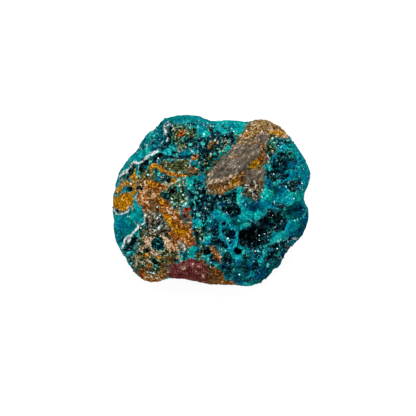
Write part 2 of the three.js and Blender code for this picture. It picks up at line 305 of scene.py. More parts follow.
PATCHES["olive"] = [
    field(-8.6,6.3, -7.2,6.6, -5,6.8, -3.8,6.7, -3.5,5.6, -3.9,4.6, -5.4,4.6, -6.6,4.8, -7.6,5.2,
    -8.5,5.7),
    field(-1.3,2.6, -0.9,3.8, -0.3,5, 0.9,6.6, 2.2,7.8, 3.4,9.1, 4.2,10.2, 5.3,11.4, 6,12.6, 8,12,
    12.4,10.8, 12,10.1, 10.2,10.1, 9.3,9.6, 8.8,8.6, 8.7,6.4, 8.6,3.6, 8.2,2, 7.9,0.5, 7.3,-0.1, 6.4,0.2,
    5.6,1.2, 5.2,2.2, 4.4,2.1, 3.4,1.8, 2.4,1.4, 1.4,0.9, 0.4,0.9, -0.5,1.2, -1,1.8),
    field(-11.6,4.4, -10,3.8, -8.6,3.2, -7,2.7, -7.9,1.2, -6.8,-0.6, -8.8,-2, -10.8,-1.8, -11.7,-0.2,
    -12,1, -12.1,3.2),
    field(-12,4.9, -10.4,5.1, -9.1,4.9, -9.1,3.6, -10.2,3.6, -11.2,3.5, -12.2,3.4, -12.2,1.8, -11.2,1.6,
    -10.9,2.6, -11.2,3.4),
    band(0.18, -5.4,8.4, -4.9,8.9, -4.3,9.1, -4,8.8, -4.4,8.3), spot(-3.1,10.5, 0.7,0.3),
    band(0.24, -0.9,4.2, -0.3,5, 0.7,6.3, 1.7,7.4, 2.8,8.3, 3.6,9.2, 4.1,10.1),
    band(0.2, -0.5,1.2, 0.2,1.1, 0.5,1.3), spot(-10.5,-2.7, 0.35,0.9),
    field(-8.1,-8, -7.2,-8.2, -6.4,-8.4, -5.8,-9.2, -6.2,-10, -7.4,-10, -8,-9.4),
    band(0.25, 9.4,7.7, 10.6,7.9), spot(10.2,8.3, 0.5,0.35), band(0.22, 8.5,5, 8.55,3.6, 8.1,2),
    field(-15.5,1, -15.1,2.2, -14.3,3.1, -13.2,3.3, -12.9,2.6, -14.2,2.1, -14.9,1.2),
    spot(5.3,1.1, 0.35,0.6),
]
tell("moss", "mint", "olive")

# %% [markdown]
# One broad vein of sugary quartz crosses the stone. Its lower end, and a second patch at the left,
# are coarser and of a cooler grey.

# %% Quartz vein
PATCHES["quartz"] = [
    field(-1,2.7, -0.7,3.6, -0.3,4.5, 0.5,5.6, 1.2,6.5, 2,7.4, 2.9,8.1, 3.6,8.8, 4.1,9.6, 4.6,9.9,
    5.4,9.7, 6.8,9.9, 7.4,10.9, 8.6,11.3, 9.6,11, 9.4,10.2, 8.7,9, 8.3,7.8, 7.6,6.9, 6.2,6, 5.6,5,
    4.9,4.9, 4.2,4.5, 3.1,3.8, 2.4,2.9, 1.6,2.2, 0.8,2, 0.3,1.4, -0.3,1.2, -0.8,1.6),
    field(5.1,4.8, 7,5.2, 8.6,5, 8.5,3.6, 8.2,2.4, 8,1.4, 7.7,0.4, 7.2,0, 6.6,0.4, 5.9,1.2, 5.6,2.2,
    5.1,3.2),
]
PATCHES["grey"] = [
    field(-10.2,-1.8, -8.6,-1.9, -7.9,-2.8, -7.3,-4, -7,-5.2, -7.8,-5.7, -9.4,-5.7, -10.6,-5.4, -10.4,-4,
    -10.5,-3),
    field(5.4,2.2, 6.2,3.5, 8,3.3, 8.1,1.8, 7.5,0.3, 6.7,0.5, 6,1.2),
]
tell("quartz", "grey")

# %% [markdown]
# Iron minerals weather to brown, rust, tan and yellow ochre. They follow the edges of the vein and
# run down the left side.

# %% Brown, rust, tan and ochre
PATCHES["brown"] = [
    field(-10.1,0.1, -9.2,0.5, -8.4,0.1, -8.2,-1.2, -8.4,-2.2, -10,-1.9, -10.3,-1),
    field(-1.6,-10.2, 0.2,-10.3, 1,-11.3, 1.9,-12.2, 2.4,-12.9, 3.9,-13.2, 3.8,-14.4, -0.4,-14.4,
    -1.5,-12.4),
    field(-4.2,-1.9, -3.5,-1.5, -3.1,-3, -2.9,-4.2, -3.5,-4.4, -4.6,-3.2),
    field(-0.7,2.4, 0.3,2.7, 1.8,3, 2.4,3, 2,2.2, 0.6,2, 0.1,1.4, -0.6,1.5), spot(7.2,9.5, 0.8,0.3),
    spot(7,11.9, 1,0.5, -10), spot(9.2,12.7, 1.1,0.35, -15), spot(7.9,2.7, 0.35,0.5),
    spot(6.3,2.9, 0.7,0.25, 10), spot(-7.7,-10.6, 0.5,0.4), spot(-3.2,5, 0.95,0.45, 5),
    spot(-2.9,7.1, 0.8,0.5, 20), spot(-6.9,-9.4, 0.6,0.3), band(0.25, -0.9,-10.2, -2,-10, -2.4,-9.7),
]
PATCHES["rust"] = [
    field(-11.3,3.4, -9.8,3.5, -9.2,3.1, -8.4,2.9, -7.7,2.6, -7,2.5, -7,1.9, -8,1.7, -8.4,1.2, -8.4,0.5,
    -7.4,0.3, -6.8,-0.5, -6.2,-1.2, -5.2,-1.6, -4.9,-2.6, -4.4,-3.4, -3.4,-4.4, -3.1,-5.6, -2.6,-6.6,
    -2.9,-7.3, -4,-7.3, -5,-6.8, -6.2,-6.5, -7,-5.8, -6.9,-4.6, -7.6,-3.2, -8.3,-2.2, -8.3,-0.6, -9.2,0.4,
    -10.1,0.2, -10.3,-1, -10.1,-1.9, -10.8,-2.1, -11.3,-1.4, -11.7,-0.6, -12.1,0.6, -12.2,1.6, -12.1,2.6,
    -11.8,3.3),
    band(0.42, -10,5.4, -9.4,5.7, -8.6,5.5, -8.2,5.2, -7.3,4.8, -6.6,4.4, -5.6,4.1, -4.5,4),
    spot(-4.8,11, 0.8,0.35, 42), band(0.3, 0.1,9.95, -0.1,9.4, -0.3,8.9), spot(-2.9,7, 0.4,0.3),
    field(0.3,1, 0.3,1.6, 1.2,2, 2,2.1, 2.6,2.9, 3.3,3.7, 4.3,4.4, 5.2,4.8, 5.2,3.8, 5,2.9, 4.6,2.2,
    3.4,2, 2.5,1.7, 1.6,1),
    spot(7.8,6.6, 0.9,0.45, 20), band(0.28, 8.5,8.7, 8.3,7.9, 8.4,7),
    field(0,-7.2, 0.5,-7.7, 1.2,-8.4, 1.7,-9, 1.6,-9.8, 1.3,-10.1, 0.9,-9.7, 0.3,-9.4, 0,-8.9, -0.2,-8.1),
    field(-12.4,-11.6, -11.4,-11.1, -10.6,-11.2, -10.4,-11.9, -9.2,-12, -8.6,-11.4, -7.6,-10.9,
    -6.9,-10.3, -6.9,-11.6, -7.2,-12.6, -8.2,-13.2, -9.8,-13.8, -11.6,-13.4),
    band(0.35, 1.6,-13.4, 2.6,-13.3, 3.7,-13.5), band(0.25, 0.6,-11.2, 1.5,-12.2, 2.2,-13),
    dots(11.5,10.9,0.4, -10.2,-10.8,0.5, 5,4.1,0.4),
    field(-7.7,-6, -6,-6.3, -5,-6.9, -5.2,-8.6, -6.4,-8.3, -7.4,-8.1, -7.7,-7),
]
PATCHES["tan"] = [
    field(4.2,9.8, 5.2,10.8, 5.7,11.6, 6,12.6, 6.4,13.6, 8.6,14, 11.6,12.8, 12.9,10.9, 12.2,10.2, 11,10.3,
    10,10.7, 9.4,11.3, 8.4,11.2, 7.4,10.7, 6.8,10.1, 5.4,9.9),
    band(0.14, -0.8,3, -0.6,3.9, -0.1,4.7),
    field(2.2,2, 2.6,2.8, 3.4,3.7, 4.4,4.4, 5,4.5, 4.9,3, 4.3,2.3, 3.2,2.1),
    field(-12.2,3.2, -11.2,3.5, -10.5,3.1, -10.7,2.3, -11.4,1.7, -12.2,1.5), spot(-9.7,1.3, 0.8,0.5, 20),
    band(0.2, -5.5,8.4, -4.9,8.9, -4.2,9.15), spot(1.3,9.5, 0.8,0.4, 20), spot(8,5.4, 0.5,0.35),
    band(0.25, -11.9,2.6, -11.9,1.2, -11.3,1.4), spot(-7.9,-11.7, 0.6,0.7), spot(-9.3,-12.3, 1.2,0.45),
    band(0.12, 3.4,8.7, 4.4,9.2, 6,9.3, 7.6,9.8), band(0.08, 4.6,8.3, 5.8,8.5), spot(3.6,7.1, 0.5,0.25),
]
PATCHES["ochre"] = [
    field(-16.2,0.4, -15.1,0.8, -14.7,1.2, -13.8,1.3, -13.1,1.6, -12.9,2.2, -12.3,2.3, -12.3,1.2,
    -12.7,0.5, -12.7,-0.4, -13.3,-0.9, -13.8,-1.4, -14.2,-1.9, -14.9,-2, -15.2,-1.4, -16.4,-1.1),
    band(0.42, -15.1,1.7, -14.6,2.4, -13.9,2.8, -13.3,2.8), band(0.36, -12.7,2, -12.6,3.2, -12.5,4.6),
    band(0.5, -7,-2.9, -6.6,-4, -5.7,-4.9, -4.4,-5.2), band(0.2, -10.2,2.9, -9.4,2.5, -8.8,2.8),
    band(0.25, -9.9,5.5, -9,5.7, -8.4,5.3, -7.6,4.9), spot(-5.9,4.2, 0.7,0.2, -10),
    spot(-10.7,-8.9, 0.65,0.3), spot(-8.7,-9.35, 0.45,0.28), spot(7,5.9, 0.85,0.55, 40),
    band(0.26, 9.4,11.2, 10.4,11.2, 11.2,10.9, 12.2,10.8), spot(3.9,3.2, 0.45,0.9, -20),
    spot(2.9,2.5, 0.4,0.2, 20),
    dots(-6.3,3.1,0.4, -8,-0.1,0.35, -7,-10.3,0.25, 5.6,11,0.3, -11,-12.5,0.3),
]
tell("brown", "rust", "tan", "ochre")

# %% [markdown]
# A lump of maroon iron ore sits in the lower edge, and a few red spots are dotted about. Rose is the
# pinkish grit between the rust and the green.

# %% Maroon, red and rose
PATCHES["maroon"] = [
    field(-6.9,-10.6, -6.3,-10.2, -5,-10.2, -4.1,-9.8, -3.8,-9.2, -3,-9.1, -2.3,-9.9, -1.5,-10.3,
    -0.8,-10.6, -0.5,-12, -0.4,-14.2, -3,-14.2, -6.6,-13.8, -7,-12),
]
PATCHES["red"] = [
    spot(-4.1,-1.55, 0.75,0.38, 20), spot(-4.5,-2.4, 0.45,0.4), spot(-5.2,10.6, 0.35,0.2, 40),
    spot(0.3,-8.4, 0.25,0.4), dots(-11.4,-12.2,0.35, -3,-6.9,0.35),
]
PATCHES["rose"] = [
    field(-10.9,-5.9, -9.6,-5.8, -9.2,-6.2, -9.8,-6.9, -10,-7.6, -10.2,-8.6, -10.9,-7.6, -11.4,-8.4,
    -11.8,-7.9, -11.2,-7.3, -10.8,-6.9),
    field(-8.1,-5.9, -7.2,-6.1, -6.4,-6.9, -5.9,-7.4, -5.7,-8.2, -6.3,-8.2, -7.2,-8.2, -7.5,-7.2,
    -7.9,-6.5),
    band(0.18, -5.9,-7.2, -5.3,-8, -5.2,-9.2, -5.15,-10), band(0.25, -9.8,-8.3, -9.2,-8.7, -8.3,-8.6),
    band(0.16, -4.9,-6.8, -4.2,-7.6, -4.5,-8), band(0.09, 0.15,3.1, 1,3.2, 2,3.45, 3.2,3.9, 4,4.3),
    spot(-6.7,-1.8, 0.38,0.24, -20), spot(-13.1,-1.1, 0.35,0.25),
    dots(-7.2,-1.4,0.18, -7.5,2.8,0.25, -7,2.4,0.2, -5.9,-2.8,0.2, -6.4,-4.8,0.2, -5.2,-7,0.25,
    -9.5,0.9,0.3, -11.1,0.9,0.22, -10.5,0.8,0.2, -10.5,-0.3,0.2, -11,1.4,0.25, -5.3,-1.7,0.2,
    -6.4,-1.3,0.2, 2.4,2.1,0.22, 1.8,1.4,0.22, -14.2,2.6,0.18, -10.6,-12.5,0.2, 1.5,-8.5,0.2,
    1.5,-9.1,0.18, 5.3,1,0.2, -4.9,-3.6,0.18, -3.4,-3.2,0.18, -8.3,1.8,0.18, 9.6,11.7,0.35, 9.2,11.5,0.2,
    8.2,10.9,0.2, 5,10.4,0.2, 7.6,13.1,0.2, 5.6,10.2,0.2, -7.4,-3.8,0.15, -7.4,-4.4,0.15, -12,-9.4,0.22,
    -11.1,-10,0.2, -12.3,-10.3,0.2, -10.5,-9.7,0.22, -1.2,-12.3,0.16, -4.6,-11,0.16, -12.6,-8.8,0.2,
    11.9,10.4,0.25, 6.8,12.3,0.25, -7.3,-6.8,0.4),
]
tell("maroon", "red", "rose")

# %% [markdown]
# Where the crust is broken off, its edge shows as a thin pale rim. Turquoise is for the beads of
# young crust that sit on the druse like drops.

# %% Pale rims and turquoise beads
PATCHES["pale"] = [
    band(0.17, -6.3,12.1, -7,12.4, -7.5,12, -7.4,10.6, -7.1,10, -7.3,9.6),
    band(0.13, -8,9.5, -8.4,8.9, -8.6,8.3), band(0.22, -8.8,7.9, -9.3,7.8, -9.9,7.5),
    band(0.16, -9.8,7.5, -10.4,7.1, -11.3,6.1, -11.9,5.95, -12.4,6.2, -12.9,6.1, -13.3,5.3, -13.9,4.6,
    -14.6,4.1, -15.1,3.6),
    band(0.06, -11.7,5.9, -11.75,4.7), band(0.12, -12.1,1.1, -12.2,0.7, -12.3,0.3),
    band(0.13, -13.4,-1.5, -13.9,-2, -14.4,-2.25, -15,-2.3, -15.5,-2.1, -15.9,-1.4),
    band(0.09, -10.75,-2.2, -10.8,-3.4, -11,-3.7, -11.7,-4, -12,-4.6),
    band(0.16, -12.1,-4.6, -12.6,-5.3, -13.6,-6, -14,-6.4, -14.3,-7.2, -14.6,-7.7),
    # The thin band at -10.9,9.3 is a painted highlight, not a broken rim
    spot(-13.4,-6.4, 0.5,0.3, 40), band(0.08, -10.9,9.3, -10.4,8.9, -10.4,8.3),
    band(0.07, -3.4,8.2, -2.8,7.7, -2.2,7.3), band(0.07, -3.4,6.6, -3.5,5.6, -3.7,5.3),
    band(0.07, -2,5.2, -1.7,4.7), band(0.12, -10.4,-11.5, -9.7,-11.75, -9.2,-11.8),
    # The spot at -11.7,8.6 is a painted highlight
    spot(-8.4,-4.3, 0.6,0.2, 40), spot(-8.8,-2.75, 0.15,0.3, -20), spot(-11.7,8.6, 0.3,0.2),
    spot(7.1,2.8, 0.4,0.13, -50), band(0.07, 5.3,2.4, 6.1,2.5), band(0.05, 6.2,2, 6.7,1.2, 7.2,0.6),
    spot(6.5,3.25, 0.3,0.1, -10), band(0.08, 8.7,7.7, 9.2,7.2, 9.4,6.8), spot(8,-2.8, 0.3,0.1),
    band(0.1, 12.7,-6.6, 13.3,-6.2, 13.9,-6), spot(-9.85,-7.5, 0.15,0.35),
]
PATCHES["turquoise"] = [
    band(0.13, -3.1,0.1, -2.8,-0.4, -2.7,-1), band(0.14, 1.5,-0.7, 1.8,-0.5, 2.1,-0.2),
    band(0.12, -10.3,6.1, -9.6,6.6), band(0.12, 9.2,1.7, 9.8,1.3), spot(4.5,-0.1, 0.5,0.45),
    # The spot at -9.75,10.5 is a painted highlight
    spot(-9.75,10.5, 0.25,0.5), spot(-7.5,0.8, 0.4,0.22, -30), spot(-13.6,-8.6, 0.32,0.22, -20),
    spot(-4.75,-9.3, 0.28,0.5), spot(8.45,-8.2, 0.16,0.35), spot(9.75,-3.35, 0.35,0.3),
    dots(-3.4,9.2,0.33, -1.5,9.3,0.3, -2.2,8,0.28, 0.5,7.5,0.25, 1.4,7.8,0.28, 2.6,8.5,0.4, -6.7,8.1,0.2,
    -5.6,7.6,0.18, -9.4,11.4,0.25, -2.1,11.85,0.2, -0.6,5.3,0.22, -3,1.4,0.25, -2.5,0.5,0.3,
    -1.6,0.8,0.25, -2,0,0.2, -2.1,-2.4,0.35, -0.2,-3.4,0.2, 0.75,-3.8,0.2, 2.9,-4.1,0.2, 3,-6.5,0.18,
    -12,-5.7,0.25, -9,-10.6,0.28, -8,-7.5,0.3, -8.7,-6.5,0.25, 0.8,-10.5,0.38, -1.3,-9,0.28,
    -0.6,-9.6,0.25, 9.3,-3.8,0.25, 10.65,0.2,0.2, 14.3,5.5,0.35, 12.5,9.8,0.2, 10.7,9.6,0.18,
    9.5,5.1,0.25, 10.3,2.9,0.2, 12.2,0.4,0.2, 4.4,-3.3,0.25, 5.3,-0.1,0.2, 10.7,-6.6,0.35, 6.3,-11.6,0.2,
    9.1,-10.4,0.3, 3.6,-11.3,0.2, -6.8,-12.8,0.25, 7.6,-8.2,0.2, -8.6,4.4,0.3, 3.9,11,0.3),
]
tell("pale", "turquoise")

# %% [markdown]
# The last three belong to the pits: navy crystals that line them, the thin struts of crust that
# cross the small cavity, and the holes that are too deep for light to reach.

# %% Pits, struts and holes
PATCHES["navy"] = [
    field(-9.6,-6.7, -9,-6.1, -8.2,-6.3, -7.8,-7, -7.7,-7.9, -8.6,-8, -9.5,-7.8), spot(2.8,-5.4, 1,0.8),
    spot(0.9,-6.7, 1,0.42, -10), spot(-7.6,1, 0.32,0.55, 20), spot(-8.7,10.2, 0.35,0.65, 30),
    spot(-8.7,8.7, 0.3,0.5, -30), spot(-9.5,9.3, 0.2,0.4), spot(1.9,-0.6, 0.5,0.3),
    spot(-1.1,0.3, 0.5,0.4), spot(3,-1.6, 0.5,0.35), spot(11.4,5.2, 0.6,0.5), spot(10.9,6.8, 0.5,0.4),
    spot(9,-3.9, 0.6,0.4),
]
PATCHES["strut"] = [
    band(0.2, 1.25,-3.9, 1.35,-5.4, 2.2,-6.7, 3,-7.5, 3.6,-8.6),
    band(0.24, 3.95,-4.6, 4.05,-6.4, 3.45,-7.8), band(0.17, 4.1,-6.6, 4.75,-8),
    band(0.15, 2.5,-3.5, 2.9,-4.25, 3.9,-4.4), band(0.17, 4.9,-4.25, 5.5,-4.45, 6.3,-4.3),
]
PATCHES["hole"] = [
    field(4.8,-4.9, 6.4,-4.8, 7.6,-4.4, 8.4,-4.9, 8.3,-6, 8.1,-7.1, 6.6,-7.5, 5.2,-7, 4.7,-6),
    spot(9.5,-2.6, 0.5,0.8, -20), band(0.14, -6.8,11.9, -6.6,10.9, -6.9,10.2), spot(-2.6,2.5, 0.3,0.16),
    spot(-9.8,6.8, 0.45,0.2), spot(-13.3,1.85, 0.4,0.35), spot(9.6,-9.3, 0.5,0.35, 30),
    spot(6.5,-12.8, 0.3,0.14), spot(-0.15,-9.6, 0.14,0.45, -20),
    dots(-7,9.5,0.28, -9,6.5,0.2, -8.3,7.5,0.22, -12.7,5.3,0.2, -13,4.8,0.18, -7,3.4,0.2, -6.3,1.5,0.25,
    -12.5,-6.3,0.38, -11.5,-5.1,0.15, -13.8,-7.1,0.2, -0.8,-8.4,0.4, 4.4,-8.4,0.4, 1.8,-7.2,0.25,
    2,-3.8,0.25, -4.6,-2.5,0.18, -0.1,11.4,0.2, 1.2,9.75,0.2, 3.4,9.6,0.3, -1.7,5,0.15, -3.4,9.8,0.4,
    11,6.9,0.2, 10.5,5.7,0.2, 11.9,7.5,0.2, 12.1,2.9,0.3, 8.8,8.1,0.2, 12.2,4.1,0.3, -1.2,0.2,0.4,
    -1.3,-1.9,0.35, -0.3,-1.4,0.25, 1.9,0.3,0.3, 2.9,-1.7,0.5, 3.9,-1.7,0.3, 3.8,1.1,0.25, -2.3,-5.5,0.3,
    -11.7,-8.4,0.2, -10.5,-8.05,0.25, -9.2,-10,0.28, -7.9,-8.7,0.2, -8.2,-2.6,0.2, -7.8,-3.6,0.2,
    -8.6,-3.8,0.15, -11.5,2,0.25, 7,1.4,0.15, 10,-8.8,0.3, 10.6,-4.6,0.3, 11.8,-7.5,0.22, 0.6,-3.3,0.15,
    -15.4,-1.7,0.15),
]
tell("navy", "strut", "hole")

# %% [markdown]
# A few crystals catch the light far more than their neighbours do. The eye knows the stone by them,
# so they are placed one by one, and the rest of the glitter is left to chance later. Their pale colour
# is a painted glint.

# %% Single crystals with a painted glint
GLINTS = pairs([
    -10.6,10.3, -7.6,10.6, -4.5,2.5, -4.6,3, -1.2,-2.15, -0.25,-4.5, 1.05,0.6, 0.8,0.3, 2.45,0.4, 2.5,0,
    2.9,0.25, 3.1,0.6, 4.2,-1, 3.9,-1.1, 2.3,-1.6, 1.5,-1.2, 2.3,-1.15, 10.2,-0.15, 10.2,-0.5, 10.1,-1.05,
    8.3,0.5, 7.3,-0.25, 5.6,-0.65, 12.6,0.4, 14.9,-1.5, 14.4,2, 14.2,3.9, 14.5,2.8, 12.1,2.3, 11.7,3.8,
    -3.7,1.8, -2.9,1.6, -1.6,1.8, -0.4,-0.2, -2,-3.5, -8.4,4.3, -5,1.4, -5.2,0.2, -4.2,-0.4, -9.35,-7.4,
    -8.4,-6.75, -15.1,-6.85, -13.4,-2.6, -12.3,-0.8, 2.2,-8.2, 2.7,-7.9, 1.7,-7.8, 3.9,-10, 4.5,-12,
    5,-11.4, 6.9,-9.4, 6.8,-9.9, -4.4,-7.8, -1.9,-6.3, -1.9,-4.9, -3.7,-9, -3.7,-8.3, -9.4,-10.8,
    -8.6,-10.7, -0.2,7.6, 0.25,6.25, 2.15,10.05, -5.4,7.65, -6.9,8.3, -8.8,-1.1, -10.3,4.2, -9.3,-4.2,
    9.3,-4.2, 10.5,-3.15, 10.4,-3.8, 7.8,-5.6, 8.1,-6.4, 9.9,-5.4, 12.1,-7.6, 14,-3, 11,5.9, 12.7,7.1,
    -7.9,11, -9.4,8.9, -10.2,9.4, -4.6,12.7, -3.6,12.9, -2.2,11.9, -2,13, 1,12.4, 2.4,12.6, 3.6,11.2,
    3.2,11.7, 4.4,12.6, 5.6,12.9, -0.6,12.6, -12.6,6.5, -13.6,5.2, -6.1,8.4, -6.7,7.4, 3.1,-12.8,
    -0.1,-10, 0.4,-5.3, -0.9,9.9, 5.3,12.4,
])
print(sum(map(len, PATCHES.values())), "patches of", len(PATCHES), "minerals and", len(GLINTS), "crystals")

# %% [markdown]
# ## A skin that can be shaped
#
# The solid's mesh is loose triangles of very different sizes, so it can't carry relief. Its copy is
# merged, made millimetres, and remeshed into small even squares. That is Blender's voxel remesh: it
# forgets the old triangles and wraps new ones of one size round the same shape. It runs twice. The
# first, coarse mesh gets the pits and humps, and the second, fine mesh gets the grain.


# %% Remeshing a copy of the solid
def show(name, data):
    """Puts a mesh, a lamp or a camera into the scene."""
    shown = bpy.data.objects.new(name, data)
    bpy.context.scene.collection.objects.link(shown)
    return shown


def mesh_of(made, name):
    """Turns a finished bmesh into a mesh."""
    mesh = bpy.data.meshes.new(name)
    made.to_mesh(mesh)
    made.free()
    return mesh


def remeshed(mesh, size):
    """A new mesh of even quads round the same shape."""
    holder = show("remesh", mesh)
    wrap = holder.modifiers.new("wrap", "REMESH")
    wrap.mode = "VOXEL"
    wrap.voxel_size = size
    wrapped = bpy.data.meshes.new_from_object(holder.evaluated_get(bpy.context.evaluated_depsgraph_get()))
    bpy.data.objects.remove(holder)
    return wrapped


COARSE = 0.3
SAME_PLACE = 0.001
bm = bmesh.new()
bm.from_mesh(node.data)
bmesh.ops.scale(bm, vec=(1 / MM,) * 3, verts=bm.verts)
bmesh.ops.remove_doubles(bm, verts=bm.verts, dist=SAME_PLACE)
coarse = remeshed(mesh_of(bm, "merged"), COARSE)
print("coarse skin:", len(coarse.vertices), "points, about", COARSE, "mm apart")

# %% [markdown]
# ## Which points are seen from above
#
# The patches are a plan, so they only make sense on the upper half. Further down, the minerals come
# from noise in three dimensions instead, which has no direction that it smears in. To fade from one
# to the other, the script measures at what height the stone is widest, all the way round.


# %% Helpers that read a mesh
def points_of(mesh):
    """Where a mesh's points are, one row each."""
    co = np.empty(len(mesh.vertices) * 3)
    mesh.vertices.foreach_get("co", co)
    return co.reshape(-1, 3)


def normals_of(mesh):
    """Which way a mesh faces at each point."""
    directions = np.empty(len(mesh.vertices) * 3)
    mesh.vertex_normals.foreach_get("vector", directions)
    return directions.reshape(-1, 3)


def averaged(mesh, values, rounds):
    """Each point's values, blurred over the edges of the mesh."""
    ends = np.empty(len(mesh.edges) * 2, np.int64)
    mesh.edges.foreach_get("vertices", ends)
    a, b = ends.reshape(-1, 2).T
    count = np.bincount(np.concatenate((a, b)), minlength=len(values))
    for _ in range(rounds):
        around = np.stack([np.bincount(a, v[b], len(v)) + np.bincount(b, v[a], len(v)) for v in values.T], 1)
        values = 0.5 * (values + around / count[:, None])
    return values


def smooth_step(value, start, end):
    """0 before the start, 1 after the end, and a smooth rise between them."""
    t = np.clip((value - start) / (end - start), 0, 1)
    return t * t * (3 - 2 * t)


print("the coarse skin spans", [round(s, 1) for s in np.ptp(points_of(coarse), axis=0)], "mm")

# %% The widest level
SECTORS = 48
OUTERMOST = 12  # points that tell where a sector is widest
NEIGHBOURS = 5  # sectors that are averaged


def sector_at(points):
    """Which sector each point lies in, as a number from 0 to SECTORS that runs on evenly."""
    return (np.arctan2(points[:, 1], points[:, 0]) / math.tau) % 1 * SECTORS


coarse_points = points_of(coarse)
sector_of = sector_at(coarse_points).astype(int)
radius_of = np.hypot(coarse_points[:, 0], coarse_points[:, 1])
widest = []
for sector in range(SECTORS):
    ring = np.where(sector_of == sector)[0]
    outer = ring[np.argsort(radius_of[ring])[-OUTERMOST:]]
    widest.append(coarse_points[outer, 2].mean())
widest = np.convolve(np.tile(widest, 3), np.ones(NEIGHBOURS) / NEIGHBOURS, "same")[SECTORS : 2 * SECTORS]


def above_widest(points):
    """Height above the widest level in the same direction, in millimetres."""
    return points[:, 2] - np.interp(sector_at(points), np.arange(SECTORS + 1), np.append(widest, widest[0]))


print("widest between", round(widest.min(), 1), "and", round(widest.max(), 1), "mm up")

# %% [markdown]
# ## Noise
#
# Nothing on a broken stone is smooth or repeats, so noise is added to almost everything. `bumps`
# gives soft random swells of a chosen size, and `pebbles` gives rounded cells with grooves between
# them, which is how chrysocolla and many other crusts grow. Noise has no end, and `place` says where
# in it to look, so that two uses of it don't look alike.


# %% Two kinds of noise
def shift_to(place):
    """The step to another part of the noise."""
    return Vector((place, 1.7 * place, -place))


def bumps(points, size, layers=3, place=0.0):
    """Soft noise of about -1 to 1, with swells of a size in millimetres."""
    shift = shift_to(place)
    return np.array([noise.fractal(Vector(p) / size + shift, 1.0, 2.0, layers) for p in points])


def pebbles(points, size, place=0.0):
    """1 on the middle of each rounded cell, and about 0 in the grooves."""
    shift = shift_to(place)
    nearest = np.array([noise.voronoi(Vector(p) / size + shift)[0][0] for p in points])
    return np.clip(1 - nearest / 0.8, 0, 1)


sample = bumps(coarse_points[::50], size=2.6)
print("bumps run from", sample.min().round(2), "to", sample.max().round(2))

# %% [markdown]
# ## From the plan to the stone
#
# The plan shows the stone as an eye 375 mm straight above it would: what lies higher is nearer to
# the eye, so it looks a little wider apart. Every point is moved outward by its height before it is
# looked up in the plan.

# %% Where a point falls on the plan
EYE_DISTANCE, EYE_LEVEL = 375.0, 0.5 * high.z
MIDDLE = (-0.57, -1.22)


def on_plan(points):
    """The plan's x and y for each point, in millimetres."""
    nearer = EYE_DISTANCE / (EYE_DISTANCE - (points[:, 2] - EYE_LEVEL))
    return [centre + (points[:, i] - centre) * nearer for i, centre in enumerate(MIDDLE)]


print(f"the plan draws the top of the stone {EYE_DISTANCE / (EYE_DISTANCE - EYE_LEVEL) - 1:.1%} wider")

# %% [markdown]
# ## Pits and humps
#
# Some patches lie deeper or higher than the rest: crystals line pits, a quartz vein stands proud,
# and the pale rims are the broken edges of crust. Each entry gives a patch, how far it is lifted or
# sunk, and how wide its slope is. All of it moves straight up or down, as the plan is drawn.

